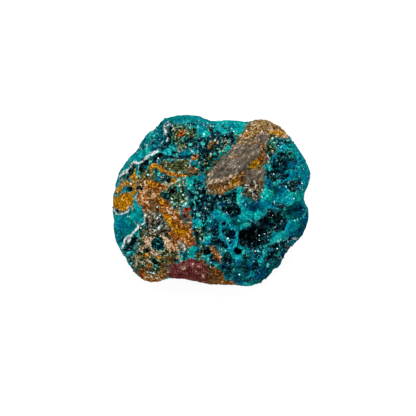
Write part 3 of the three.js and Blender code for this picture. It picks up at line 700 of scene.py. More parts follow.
# %% Relief of the upper face
RELIEF = [
    # (patch, rise in mm, width of the slope in mm)
    (spot(0.9,-2.4, 1.7,1.4, -15), 0.45, 0.9),
    (field(5,-2.4, 6.2,-3.3, 7.8,-3, 9,-2.2, 9.2,1, 7.8,0.4, 5.2,-0.2), 0.15, 0.5),
    (field(8.2,2.6, 10.6,1.6, 14,1.4, 14.5,0.1, 12.6,-0.9, 10.8,-0.2, 8,0), 0.15, 0.6),
    (band(0.9, 9.8,-6.7, 11,-6.2, 12,-5.3, 14.1,-3.6), 0.25, 0.8), (spot(-8.3,4.1, 0.85,0.8), 0.7, 0.6),
    (field(5.3,4.7, 8.5,5, 8.2,2, 7.4,0, 5.5,1.8), 0.35, 0.3), (spot(-3.4,-11.6, 3.6,1.8), 0.35, 1),
    (spot(-9.6,-12.2, 2.2,1.2), 0.35, 0.8),
    (band(0.28, -6.4,12.2, -7,12.4, -7.5,12, -7.4,10.6, -7.2,9.6), 0.3, 0.25),
    (band(0.32, -8.8,7.9, -9.9,7.5, -10.4,7.1, -11.3,6.1, -12.4,6.2, -12.9,6.1, -13.3,5.3, -13.9,4.6,
    -14.6,4.1, -15.1,3.6), 0.35, 0.25),
    (band(0.26, -10.75,-2.2, -10.9,-3.6, -11.7,-4, -12,-4.6), 0.35, 0.25),
    (band(0.36, -12.1,-4.6, -12.6,-5.3, -13.6,-6, -14,-6.4, -14.6,-7.7), 0.4, 0.3),
    (field(0,-7.2, 1.2,-8.4, 1.7,-9, 1.4,-10.1, 0.3,-9.4, -0.2,-8.1), 0.35, 0.3),
    (band(0.5, -8.3,7.2, -9.5,6.6, -10.4,6.2, -11.2,5.4, -11.3,4.6), -0.8, 0.4),
    (band(0.5, -12.6,5.5, -13,4.8, -13.6,3.7), -0.7, 0.4), (spot(-6.8,11, 0.4,1.2), -0.6, 0.4),
    (spot(-13.6,1.8, 0.7,0.4, 15), -0.5, 0.25), (spot(-7,3.4, 0.5,0.6), -0.4, 0.3),
    (spot(-6.3,1.5, 0.7,0.6), -0.35, 0.4), (spot(-7.8,1, 0.5,0.6, 30), -0.4, 0.3),
    (field(-12.9,-5.8, -11.8,-5.9, -12,-7.4, -13.2,-8.5, -14.3,-8.1, -13.4,-6.9), -0.6, 0.5),
    (spot(-8.8,-7.1, 1.15,1), -0.6, 0.5), (spot(-10.5,-8.05, 0.45,0.35), -0.6, 0.25),
    (spot(-9.2,-10, 0.6,0.4), -0.4, 0.3),
    (field(1.9,-9.2, 3,-9, 3.5,-10.3, 3.3,-11.9, 2.6,-12, 1.2,-10.7), -0.45, 0.5),
    (spot(-0.8,-8.4, 0.6,0.55), -0.5, 0.3), (spot(0.8,-6.7, 1.1,0.6, -10), -1, 0.4),
    (spot(2.2,-7.15, 0.6,0.45), -1.2, 0.3), (spot(2.8,-5.4, 1.15,0.9), -0.75, 0.4),
    (spot(4.4,-8.4, 0.65,0.55), -1.2, 0.3),
    (band(0.35, 9.3,-7.6, 10.6,-7.4, 11.8,-6.9, 12.7,-6.4), -0.35, 0.35),
    (band(0.3, 7.2,-8.4, 7.4,-9.6, 7.2,-10.8), -0.35, 0.3),
    (band(0.3, 5.6,-9.2, 5.4,-10.4, 5.8,-11.6), -0.3, 0.3),
    (band(0.3, 8.4,-7.8, 8.3,-9.2, 8.6,-10.4), 0.3, 0.3), (spot(2,-3.8, 0.4,0.35), -0.6, 0.25),
    (field(9.3,-1.7, 10.4,-1.3, 11.9,-2, 11.2,-4.6, 9.4,-4.4), -0.5, 0.5),
    (band(0.3, 10.7,-0.6, 11.8,-1, 13.2,-1), -0.25, 0.3),
    (field(1.8,-1.2, 4.6,-1, 4.7,-2.3, 3.4,-3, 2.4,-2.4), -0.5, 0.5),
    (field(10.4,7, 12.6,7.7, 13.9,5.2, 12.4,3.4, 9.2,3.8), -0.45, 0.9),
    (field(-2.4,9.6, 3.4,10.6, 1.2,7.2, -0.6,5.2, -2.2,6.4), -0.3, 0.9),
]
SWELL, SWELL_SIZE = 0.3, 2.6
FADE_IN = (-0.5, 2.0)  # heights from the widest level, in mm


def lift(points):
    """How far each point of the upper face moves up, from RELIEF and broad swells."""
    x, y = on_plan(points)
    total = SWELL * bumps(points, SWELL_SIZE, layers=4, place=3.1)
    for patch, rise, slope in RELIEF:
        total += rise * smooth_step(patch(x, y), 0, slope)
    return total * smooth_step(above_widest(points), *FADE_IN)


coarse_points[:, 2] += lift(coarse_points)
coarse.vertices.foreach_set("co", coarse_points.ravel())
coarse.update()
print("upper face now reaches", round(coarse_points[:, 2].max(), 2), "mm")

# %% [markdown]
# ## Struts across the cavity
#
# The cavity's left side is a web of thin teal struts with dark holes between them. They are modelled
# as strings of small balls that overlap each other and the stone. The remesh that follows melts
# balls and stone into one skin, which is far easier than sewing tubes onto a rough face.

# %% The struts, and the skin under them
STRUTS = [
    # (radius in mm, x,y of each place on the line)
    (0.23, 1.2,-3.7, 1.35,-5.4, 2.2,-6.7, 3,-7.5, 3.7,-8.8), (0.28, 3.9,-4.3, 4.05,-6.4, 3.45,-7.8),
    (0.21, 4.1,-6.5, 4.75,-8.1), (0.22, 2.5,-3.4, 2.8,-4.3, 3.9,-4.5),
    (0.23, 4.8,-4.25, 5.5,-4.5, 6.4,-4.3),
]
SKY = 40.0
shell = BVHTree.FromPolygons(coarse_points.tolist(), [tuple(p.vertices) for p in coarse.polygons])


def height_at(x, y):
    """Height of the coarse skin at a place, seen from above."""
    return shell.ray_cast(Vector((x, y, SKY)), Vector((0, 0, -1)))[0].z


heights = [height_at(*line[1:3]) for line in STRUTS]
print("the struts start between", round(min(heights), 1), "and", round(max(heights), 1), "mm up")

# %% Strings of balls
SAG = 0.1  # how far the middle of a strut hangs, in mm
UNEVEN = 0.25  # how much its thickness varies
bm = bmesh.new()
bm.from_mesh(coarse)
balls = 0


def walk(line, step):
    """Places every so often along a line, each with how far along it is, from 0 to 1."""
    lengths = [math.dist(a, b) for a, b in zip(line, line[1:])]
    gone = 0.0
    for a, b, length in zip(line, line[1:], lengths):
        for i in range(int(length / step)):
            t = i * step / length
            yield a[0] + t * (b[0] - a[0]), a[1] + t * (b[1] - a[1]), (gone + t * length) / sum(lengths)
        gone += length


for radius, *numbers in STRUTS:
    line = pairs(numbers)
    first, last = height_at(*line[0]), height_at(*line[-1])
    for x, y, share in walk(line, step=radius / 2):
        sag = SAG * math.sin(math.pi * share)
        swell = 1 + UNEVEN * noise.noise(Vector((x, y, 0)) * 1.6)
        place = Matrix.Translation((x, y, first + (last - first) * share - sag))
        bmesh.ops.create_icosphere(bm, subdivisions=2, radius=radius * swell, matrix=place)
        balls += 1
webbed = mesh_of(bm, "webbed")
print(balls, "balls in", len(STRUTS), "struts")

# %% [markdown]
# ## The fine skin and its minerals
#
# The fine mesh has a point about every fifth of a millimetre. At each point the script now works out
# how deep it lies in every mineral. The plan is bent a little with noise first, so that no patch
# keeps its drawn corners. It is bent more where the stone is steep, because a patch would smear
# there, and below the widest level noise alone decides.

# %% Bending the plan
FINE = 0.19
skin = remeshed(webbed, FINE)
points = points_of(skin)
NOISE_BELOW, PLAN_ABOVE, STRAIGHT_ABOVE = -2.6, -0.6, 0.4  # mm from the widest level
TOP_BEND, STEEP_BEND, SIDE_BEND = 0.15, 0.5, 0.6  # mm
from_above = smooth_step(above_widest(points), NOISE_BELOW, PLAN_ABOVE)
steep = 1 - smooth_step(averaged(skin, normals_of(skin), rounds=30)[:, 2], 0.2, 0.6)
bend = TOP_BEND + STEEP_BEND * steep
bend = bend + SIDE_BEND * (1 - smooth_step(above_widest(points), NOISE_BELOW, STRAIGHT_ABOVE))
x, y = on_plan(points)
x += bend * bumps(points, 1.5, place=11.0)
y += bend * bumps(points, 1.5, place=23.0)
print("fine skin:", len(points), "points, seen from above:", f"{from_above.mean():.0%}")

# %% Depth in each mineral
LAYERS = {
    # mineral: (how far its edge wanders in mm, size of its patches lower down in mm, how rare they are there)
    "bright": (0.5, 3.6, 0.25), "blue": (0.5, 4.0, 0.35), "deep": (0.5, 4.5, 0.1), "druse": (0.75, 4.5, 0.22),
    "moss": (0.5, 4.0, 0.4), "mint": (0.4, 4.0, 0.5), "olive": (0.3, 5.0, 0.45), "quartz": (0.12, 7.0, 0.34),
    "grey": (0.12, 5.0, 0.6), "brown": (0.25, 5.0, 0.5), "rust": (0.3, 7.0, 0.32), "tan": (0.2, 5.0, 0.52),
    "ochre": (0.2, 4.5, 0.55), "maroon": (0.15, 6.0, 0.6), "red": (0.15, 3.0, 0.8), "rose": (0.12, 4.0, 0.75),
    "pale": (0.03, 5.0, 0.85), "turquoise": (0.12, 1.4, 0.6), "navy": (0.45, 3.0, 0.7),
    "strut": (0.06, 3.0, 1.2), "hole": (0.12, 1.8, 0.5),
}
DEEP = 1.5
SOFT_EDGE = 0.12
depth = {}
for number, (mineral, shapes) in enumerate(PATCHES.items()):
    ragged, size, rarity = LAYERS[mineral]
    own_place = 31.0 + 6 * number  # no two minerals look at the same part of the noise
    plan = deepest(shapes, x, y) + ragged * bumps(points, 1.4, layers=4, place=own_place)
    wild = (bumps(points, size, layers=4, place=own_place + 100) - rarity) * size * 0.5
    depth[mineral] = np.clip(from_above * plan + (1 - from_above) * wild, -DEEP, DEEP)
share = {mineral: smooth_step(d, -SOFT_EDGE, SOFT_EDGE) for mineral, d in depth.items()}
print("share of the skin:", {mineral: f"{s.mean():.0%}" for mineral, s in share.items()})

# %% [markdown]
# ## Grain of the skin
#
# Now each mineral gets its own texture in the mesh itself, because bumps that are really there catch
# the light at every angle and show on the outline. Chrysocolla is pebbled, druse is pitted, quartz
# is sugary, iron minerals are crumbly. Later minerals hide earlier ones, as in the colours. The
# whole skin is set in a little, so that the stone keeps the solid's size.

# %% Moving the skin along its normals
crust = 0.2 * pebbles(points, size=1.5, place=5.0) + 0.09 * pebbles(points, size=0.7, place=7.0)
grain = bumps(points, size=0.45, place=13.0)
chunks = pebbles(points, size=0.9, place=17.0)
TEXTURE = {
    # mineral: (how far it stands out, height of its chunks, height of its grain, in mm)
    "deep": (crust - 0.06, 0, 0.12), "druse": (-0.24, 0, 0.26), "moss": (-0.08, 0.12, 0.22),
    "mint": (-0.02, 0.12, 0.24), "olive": (0, 0.08, 0.12), "quartz": (0.1, 0.05, 0.12),
    "grey": (0.02, 0.1, 0.2), "brown": (0, 0.06, 0.14), "rust": (0, 0.08, 0.2), "tan": (0, 0.1, 0.16),
    "ochre": (0, 0.05, 0.16), "maroon": (0, 0.05, 0.09), "red": (0.08, 0, 0.12), "rose": (0.12, 0, 0.18),
    "pale": (0.16, 0, 0.12), "turquoise": (0.12, 0, 0.1), "navy": (-0.12, 0, 0.2),
    "strut": (0.05, 0, 0.08), "hole": (-0.5, 0, 0.12),
}
SET_IN = 0.06
offset = crust + 0.09 * grain
for mineral, (level, chunk_height, grain_height) in TEXTURE.items():
    texture = level + chunk_height * chunks + grain_height * grain
    offset = offset + (texture - offset) * share[mineral]
offset = offset - offset.mean() - SET_IN
fade_at_base = smooth_step(points[:, 2], 0.0, 1.0)
points += normals_of(skin) * (offset * fade_at_base)[:, None]
points[:, 2] = np.maximum(points[:, 2], 0)
skin.vertices.foreach_set("co", points.ravel())
skin.update()
for polygon in skin.polygons:
    polygon.use_smooth = True
print("relief from", round(offset.min(), 2), "to", round(offset.max(), 2), "mm")
print("the skin has", 2 * len(skin.polygons), "triangles")

# %% [markdown]
# ## Painted shade in grooves
#
# Shade falls into grooves and pits, and high places catch the light, so the materials paint grooves
# and pits darker and peaks lighter, and need to know which is which. Each point is compared with the
# average of its neighbours, taken over and over: the more rounds, the wider the neighbourhood. What
# is left is how deep the point lies below the skin around it. Two widths are kept, one for the grain
# and one for the pits.


# %% How hollow each point is
def hollow(rounds, full_depth):
    """1 in a groove of that depth in mm, -1 on a peak as high."""
    below = ((averaged(skin, points, rounds) - points) * normals_of(skin)).sum(1)
    return np.clip(below / full_depth, -1, 1)


def remember(mesh, marks):
    """Keeps values with a mesh's points, for its material to read."""
    for name, values in marks.items():
        mesh.attributes.new(name, "FLOAT", "POINT").data.foreach_set("value", np.asarray(values, np.float32))


MIDDLE_TONE = 0.5
# groove and pit are kept for the painted shade that the skin's material puts in hollows
marks = dict(depth, groove=hollow(rounds=6, full_depth=0.06), pit=hollow(rounds=120, full_depth=0.5))
marks["tone"] = np.full(len(points), MIDDLE_TONE)
remember(skin, marks)
print("grooves", round(np.abs(marks["groove"]).mean(), 2), "pits", round(np.abs(marks["pit"]).mean(), 2))

# %% [markdown]
# ## Crystals and grains
#
# A dioptase crystal is a short six-sided prism that ends in three slanting faces. One crystal is
# modelled with Blender's own operators and then planted many times, each time turned, leaned and
# stretched differently. A grain of sugary quartz or crumbly iron ore is a small ball of twenty faces
# with its corners pushed about. All copies of a kind are joined into one mesh, and each copy
# remembers one random number, its tone, which its material turns into a colour of its own.


# %% One crystal and one grain
def crystal():
    """A prism of unit width and height with a three-faced tip, standing on its foot."""
    radius, tip = 0.5, 0.42
    made = bmesh.new()
    ring = bmesh.ops.create_cone(made, cap_ends=True, segments=6, radius1=radius, radius2=radius, depth=1.0)
    ring = ring["verts"]
    bmesh.ops.translate(made, vec=(0, 0, 0.5), verts=ring)
    top = max(made.faces, key=lambda f: f.calc_center_median().z)
    middle = bmesh.ops.poke(made, faces=[top])["verts"]
    bmesh.ops.translate(made, vec=(0, 0, tip), verts=middle)
    upper = [v for v in ring if v.co.z > 0.5]
    upper.sort(key=lambda v: math.atan2(v.co.y, v.co.x))
    bmesh.ops.translate(made, vec=(0, 0, -tip), verts=upper[::2])
    return mesh_of(made, "crystal")


def pebble(seed):
    """An angular grain of unit width."""
    shake = random.Random(seed)
    made = bmesh.new()
    for vert in bmesh.ops.create_icosphere(made, subdivisions=1, radius=0.5)["verts"]:
        vert.co *= shake.uniform(0.7, 1.15)
    return mesh_of(made, "pebble")


CRYSTALS = [crystal()]
PEBBLES = [pebble(seed) for seed in range(4)]
print("a crystal has", len(CRYSTALS[0].polygons), "faces, a grain", len(PEBBLES[0].polygons))

# %% [markdown]
# Places are drawn at random, but at most one to each small cube of space, so that copies don't pile
# up. A copy is partly sunk into the skin and leans at random. Most copies are small and a few are
# large, and the large ones stand on level ground, where nothing rubs them off.

# %% Choosing places
dice = np.random.default_rng(7)
BARE_FOOT = 0.8  # nothing grows lower than this, in mm, so that the stone lies flat


def places_in(chance, spacing):
    """Points of the skin, about one to each cube of that spacing, kept by a chance from 0 to 1."""
    cubes = np.floor(points / spacing).astype(np.int64)
    order = dice.permutation(len(points))
    _, first = np.unique(cubes[order], axis=0, return_index=True)
    chosen = order[np.sort(first)]
    clear_of_base = points[chosen, 2] > BARE_FOOT
    return chosen[(dice.random(len(chosen)) < chance[chosen]) & clear_of_base]


def nearest_from_above(places):
    """The skin's point under each x,y of the plan."""
    upper = np.where(from_above > 0.9)[0]
    across, along = on_plan(points[upper])
    return [upper[np.argmin((across - px) ** 2 + (along - py) ** 2)] for px, py in places]


print(f"copies may stand on {(points[:, 2] > BARE_FOOT).mean():.0%} of the skin")

# %% Planting
ON_STEEP = 0.3  # how large a copy grows on steep ground, as a share of one on level ground
SHARED_TONE, OWN_TONE = 0.35, 0.8  # how far a copy's tone varies with its neighbours, and by itself
upright = smooth_step(normals_of(skin)[:, 2], 0.3, 0.8)
print(f"the ground is level on {upright.mean():.0%} of the skin")


def plant(name, shapes, chosen, width, height, lean, sink, slim=0.7):
    """Joins one shape for each chosen place into an object, with sizes in millimetres."""
    up = normals_of(skin)
    swells = bumps(points[chosen], 1.1, place=91.0)
    made = bmesh.new()
    tones, feet = [], []
    for i, swell in zip(chosen, swells):
        shape = shapes[dice.integers(len(shapes))].copy()
        grown = dice.random() ** 2 * (ON_STEEP + (1 - ON_STEEP) * upright[i])
        wide, tall = (least + (most - least) * grown for least, most in (width, height))
        tilt = Vector(up[i]) + lean * Vector(dice.normal(size=3))
        turn = tilt.to_track_quat("Z", "Y").to_matrix().to_4x4()
        turn = turn @ Matrix.Rotation(dice.uniform(0, math.tau), 4, "Z")
        grow = Matrix.Diagonal((wide, wide * dice.uniform(slim, 1.0), tall, 1))
        foot = Vector(points[i]) - Vector(up[i]) * tall * sink
        shape.transform(Matrix.Scale(MM, 4) @ Matrix.Translation(foot) @ turn @ grow)
        made.from_mesh(shape)
        tone = MIDDLE_TONE + SHARED_TONE * swell + OWN_TONE * (dice.random() - 0.5)
        tones += [min(max(tone, 0.0), 1.0)] * len(shape.vertices)
        feet += [i] * len(shape.vertices)
        bpy.data.meshes.remove(shape)
    mesh = mesh_of(made, name)
    remember(mesh, {mark: tones if mark == "tone" else values[feet] for mark, values in marks.items()})
    triangles = sum(len(p.vertices) - 2 for p in mesh.polygons)
    print(name, "has", len(chosen), "copies and", triangles, "triangles")
    return show(name, mesh)


# %% [markdown]
# What grows at a place depends on the mineral that shows there, so the script first works out how
# much of each one is left uncovered by the later ones. Loose bits of most minerals are strewn a
# little beyond their borders. The pale sparks are painted glints, grains coloured near white. They
# grow in groups, because crystals that face the same way light up together, and they are slimmer
# than other grains.

# %% What shows where
CLEAN_BORDERS = ("pale", "quartz", "maroon", "turquoise", "strut")
STREWN = 0.3  # how far loose bits stray, in mm
ON_SIDES = 0.45  # how densely copies stand on the sides, as a share of the top
covered = {}
seen = 1.0
for mineral in reversed(list(depth)):
    strewn = (0.0 if mineral in CLEAN_BORDERS else STREWN) * dice.normal(size=len(points))
    there = smooth_step(depth[mineral] + strewn, -SOFT_EDGE, SOFT_EDGE)
    covered[mineral] = there * seen
    seen = seen * (1 - there)
top_first = ON_SIDES + (1 - ON_SIDES) * from_above


def cover_of(*minerals):
    """How much of each point shows one of these minerals."""
    return sum(covered[m] for m in minerals)


print(f"plain crust shows on {seen.mean():.0%} of the skin, druse on {covered['druse'].mean():.0%}")

# %% Planting the minerals
druse = (cover_of("druse", "hole") + 0.1 * covered["moss"]) * top_first
druse_crystals = plant("druse_crystals", CRYSTALS, places_in(druse, spacing=0.27),
                       width=(0.14, 0.46), height=(0.2, 0.5), lean=0.45, sink=0.5)
on_crust = cover_of("deep", "blue") * 0.25 * upright
crust_crystals = plant("crust_crystals", CRYSTALS, places_in(on_crust, spacing=0.4),
                       width=(0.12, 0.3), height=(0.2, 0.4), lean=0.4, sink=0.6)
sugar = covered["quartz"] * 0.6 * top_first
quartz_grains = plant("quartz_grains", PEBBLES, places_in(sugar, spacing=0.25),
                      width=(0.1, 0.32), height=(0.08, 0.22), lean=0.5, sink=0.3)
crumbs = (cover_of("moss", "mint", "rose") + 0.6 * cover_of("olive", "grey")
          + 0.3 * cover_of("rust", "tan", "brown", "maroon", "red", "pale", "ochre")) * 0.8 * top_first
ore_grains = plant("ore_grains", PEBBLES, places_in(crumbs, spacing=0.22),
                   width=(0.1, 0.28), height=(0.06, 0.18), lean=0.4, sink=0.35)
# Painted glints: near-white grains that stand in for sparkles, where glitter is likely
glitter = (0.1 * cover_of("druse", "moss", "mint") + 0.035 * covered["bright"]
           + 0.008 * (seen + cover_of("olive", "deep")))
in_groups = smooth_step(bumps(points, size=1.6, layers=2, place=57.0), -0.1, 0.4) * top_first
sparks = np.concatenate((nearest_from_above(GLINTS), places_in(glitter * in_groups, spacing=0.22)))
glint_crystals = plant("glint_crystals", PEBBLES, sparks,
                       width=(0.22, 0.48), height=(0.14, 0.24), lean=0.3, sink=0.1, slim=0.35)

# %% The skin as a piece
skin.transform(Matrix.Scale(MM, 4))
stone_skin = show("stone_skin", skin)
print("the skin spans", [round(s, 1) for s in np.ptp(points, axis=0)], "mm")

# %% [markdown]
# ## Materials
#
# A mineral isn't one colour: every grain differs a little from the next. So each mineral gets a ramp
# of its own colours, from its grooves to its peaks, and a pattern chooses the place on the ramp. A
# pattern is a sum of tones: broad and soft noise for clouds, fine noise for grit, and one random
# value for each small cell, which reads as a grain or a facet. Most minerals have two ramps of
# slightly different hue, and broad noise drifts between them. The patches' depths then say which
# mineral shows where. Fine noise makes each border ragged, and a random value for each cell strews
# loose grains across it.


# %% Helpers for node trees
def paint(code):
    """A colour given as six hexadecimal digits, turned into the linear values that a shader takes."""
    parts = [int(code[i : i + 2], 16) / 255 for i in (0, 2, 4)]
    return tuple(((c + 0.055) / 1.055) ** 2.4 if c > 0.04045 else c / 12.92 for c in parts) + (1,)


class Tree:
    """A material's nodes, with a short way to add and link them."""

    def __init__(self, name):
        self.material = bpy.data.materials.new(name)
        self.material.use_nodes = True
        self.nodes, self.links = self.material.node_tree.nodes, self.material.node_tree.links
        self.shader = self.nodes["Principled BSDF"]

    def add(self, kind, inputs, **settings):
        """A new node with its settings, and a value or a link for each input that is named."""
        made = self.nodes.new("ShaderNode" + kind)
        for key, value in settings.items():
            setattr(made, key, value)
        self.fill(made, inputs)
        return made.outputs

    def fill(self, made, inputs):
        """Links a socket or sets a value at each named input of a node."""
        for key, value in inputs.items():
            if isinstance(value, bpy.types.NodeSocket):
                self.links.new(value, made.inputs[key])
            else:
                made.inputs[key].default_value = value

    def maths(self, operation, *values):
        return self.add("Math", dict(enumerate(values)), operation=operation)[0]

    def vector(self, operation, inputs):
        return self.add("VectorMath", inputs, operation=operation)[0]

    def noise(self, place, scale, detail, roughness=0.5, distortion=0.0):
        return self.add("TexNoise", {"Vector": place, "Scale": scale, "Detail": detail,
                                     "Roughness": roughness, "Distortion": distortion})

    def between(self, value, low, high, to_low=0.0, to_high=1.0):
        """Stretches a value so that low turns to to_low, and high to to_high."""
        return self.add("MapRange", {"Value": value, "From Min": low, "From Max": high, "To Min": to_low,
                                     "To Max": to_high})["Result"]

    def mixed(self, share, first, second):
        """Two colours mixed. A Mix node keeps its colours at inputs 6 and 7 and at output 2."""
        return self.add("Mix", {0: share, 6: first, 7: second}, data_type="RGBA")[2]

    def ramp(self, value, colours):
        """A colour from evenly spaced stops, given as hexadecimal codes with spaces between them."""
        made = self.nodes.new("ShaderNodeValToRGB")
        self.fill(made, {"Fac": value})
        stops, codes = made.color_ramp.elements, colours.split()
        for i, code in enumerate(codes):
            at = i / (len(codes) - 1)
            stop = stops[i] if i < 2 else stops.new(at)
            stop.position = at
            stop.color = paint(code)
        return made.outputs["Color"]

    def attribute(self, name):
        return self.add("Attribute", {}, attribute_name=name)["Fac"]

    def millimetres(self):
        """Object coordinates, counted in millimetres."""
        place = self.add("TexCoord", {})["Object"]
        return self.add("Mapping", {"Vector": place, "Scale": (1 / MM,) * 3})["Vector"]


print("the middle grey 808080 gives a shader", round(paint("808080")[0], 3))


# %% Tones that the patterns are made of
ore = Tree("ore")
place = ore.millimetres()
broad = ore.noise(place, scale=0.35, detail=2.0)
soft = ore.noise(place, scale=0.9, detail=5.0, roughness=0.62, distortion=0.8)
fine = ore.noise(place, scale=6.0, detail=3.0, roughness=0.65)
streak = ore.noise(place, scale=1.1, detail=6.0, roughness=0.6, distortion=2.5)
VEIN_TURN = math.radians(48)
along_vein = ore.add("Mapping", {"Vector": place, "Rotation": (0, 0, VEIN_TURN), "Scale": (2.6, 0.4, 1.0)},
                     vector_type="TEXTURE")["Vector"]
lines = ore.noise(along_vein, scale=1.0, detail=4.0, roughness=0.65)


def shaken(vector, colour, amount):
    """A vector moved at random, by a colour that is read as a vector round its middle grey."""
    off_grey = ore.vector("SUBTRACT", {0: colour, 1: (0.5, 0.5, 0.5)})
    return ore.vector("ADD", {0: ore.vector("SCALE", {0: off_grey, "Scale": amount}), 1: vector})


def stretched(outputs, low, high):
    """A noise's value, stretched so that low turns to 0 and high to 1."""
    return ore.between(outputs["Fac"], low, high)


bent = shaken(place, fine["Color"], 0.3)
cells = ore.add("TexVoronoi", {"Vector": bent, "Scale": 3.2})
facets = ore.add("TexVoronoi", {"Vector": bent, "Scale": 5.6})
cell_values = ore.add("SeparateColor", {"Color": cells["Color"]})
facet_values = ore.add("SeparateColor", {"Color": facets["Color"]})
broad_tone, soft_tone = stretched(broad, 0.35, 0.65), stretched(soft, 0.34, 0.66)
fine_tone, streak_tone = stretched(fine, 0.34, 0.66), stretched(streak, 0.36, 0.64)
line_tone = stretched(lines, 0.36, 0.64)
cell_tone, facet_tone = cell_values["Red"], facet_values["Red"]
# Painted shade: how hollow each point is, read back so that hollows come out darker
groove, pit = ore.attribute("groove"), ore.attribute("pit")
copy_tone = ore.between(ore.attribute("tone"), 0, 1, -0.22, 0.22)
off_middle = ore.maths("SUBTRACT", facet_values["Blue"], 0.5)
speck = ore.maths("MULTIPLY", off_middle, ore.maths("MULTIPLY", off_middle, off_middle))
print("the tones take", len(ore.nodes), "nodes")


# %% [markdown]
# Crust is cloudy, with a few bright specks. Druse and mixed ore are grainy, with dark lines between
# the cells, which are painted shade in the crevices between grains. Maroon ore is sugary, without
# those lines. The vein is sugary too, and lined along its length. Stains are streaky. In all of them
# grooves and pits get painted shade and peaks painted light, and a planted copy is lighter or darker
# by its own tone.

# %% Patterns that the minerals share
def weighed(low, high, *parts):
    """Adds tones up by weight, and stretches the sum so that low turns to 0 and high to 1."""
    total = 0.0
    for tone, weight in parts:
        total = ore.maths("MULTIPLY_ADD", tone, weight, total)
    return ore.between(total, low, high)


# Painted shade: darker towards the edges of facets and cells, where grains meet, and in grooves and pits
FACET_EDGE_SHADE = (facets["Distance"], -0.3)
SHADED_HOLLOWS_AND_TONE = ((groove, -0.16), (pit, -0.08), (copy_tone, 1.0))
SUGARY_SHADE_AND_TONE = ((groove, -0.15), (copy_tone, 1.0), FACET_EDGE_SHADE)
GRAIN_EDGE_SHADE = ((cells["Distance"], -0.4), (facets["Distance"], -0.2))
PATTERNS = {
    "cloudy": weighed(0.05, 0.91, (soft_tone, 0.28), (broad_tone, 0.08), (fine_tone, 0.36),
                      (facet_tone, 0.28), (speck, 2.6), *SHADED_HOLLOWS_AND_TONE),
    "grainy": weighed(0.02, 0.54, (cell_tone, 0.22), (facet_tone, 0.3), (fine_tone, 0.2), (soft_tone, 0.28),
                      *SHADED_HOLLOWS_AND_TONE, *GRAIN_EDGE_SHADE),
    "sugary": weighed(0.05, 0.75, (soft_tone, 0.34), (facet_tone, 0.36), (fine_tone, 0.3), *SUGARY_SHADE_AND_TONE),
    "lined": weighed(0.06, 0.74, (line_tone, 0.36), (soft_tone, 0.12), (facet_tone, 0.3),
                     (fine_tone, 0.22), *SUGARY_SHADE_AND_TONE),
    "streaky": weighed(-0.07, 0.62, (streak_tone, 0.56), (facet_tone, 0.2), (fine_tone, 0.24),
                       *SHADED_HOLLOWS_AND_TONE, *GRAIN_EDGE_SHADE),
}
print(len(PATTERNS), "patterns")

# %% How each mineral's border runs
BORDERS = {
    # mineral: (how ragged its border is, how far loose grains of it are strewn, in mm)
    "bright": (1.2, 0.3), "blue": (1.2, 0.4), "deep": (1.2, 0.6), "druse": (1.2, 1.2), "moss": (1.2, 1.1),
    "mint": (1.2, 1.0), "olive": (1.0, 0.6), "quartz": (0.5, 0.2), "grey": (0.7, 0.4), "brown": (0.9, 0.5),
    "rust": (0.9, 0.5), "tan": (0.9, 0.4), "ochre": (0.8, 0.4), "maroon": (0.5, 0.15), "red": (0.6, 0.3),
    "rose": (0.8, 0.7), "pale": (0.35, 0.05), "turquoise": (0.4, 0.1), "navy": (1.0, 0.5),
    "strut": (0.2, 0.1), "hole": (0.4, 0.2),
}
SHADES_OF_CRUST = ("bright", "blue", "deep")
CLOUDED_BORDER, CLEAR_BORDER = 0.3, 0.06  # half of the width over which a colour fades into the next, in mm
print("borders of", len(BORDERS), "minerals,", len(SHADES_OF_CRUST), "of them clouded")

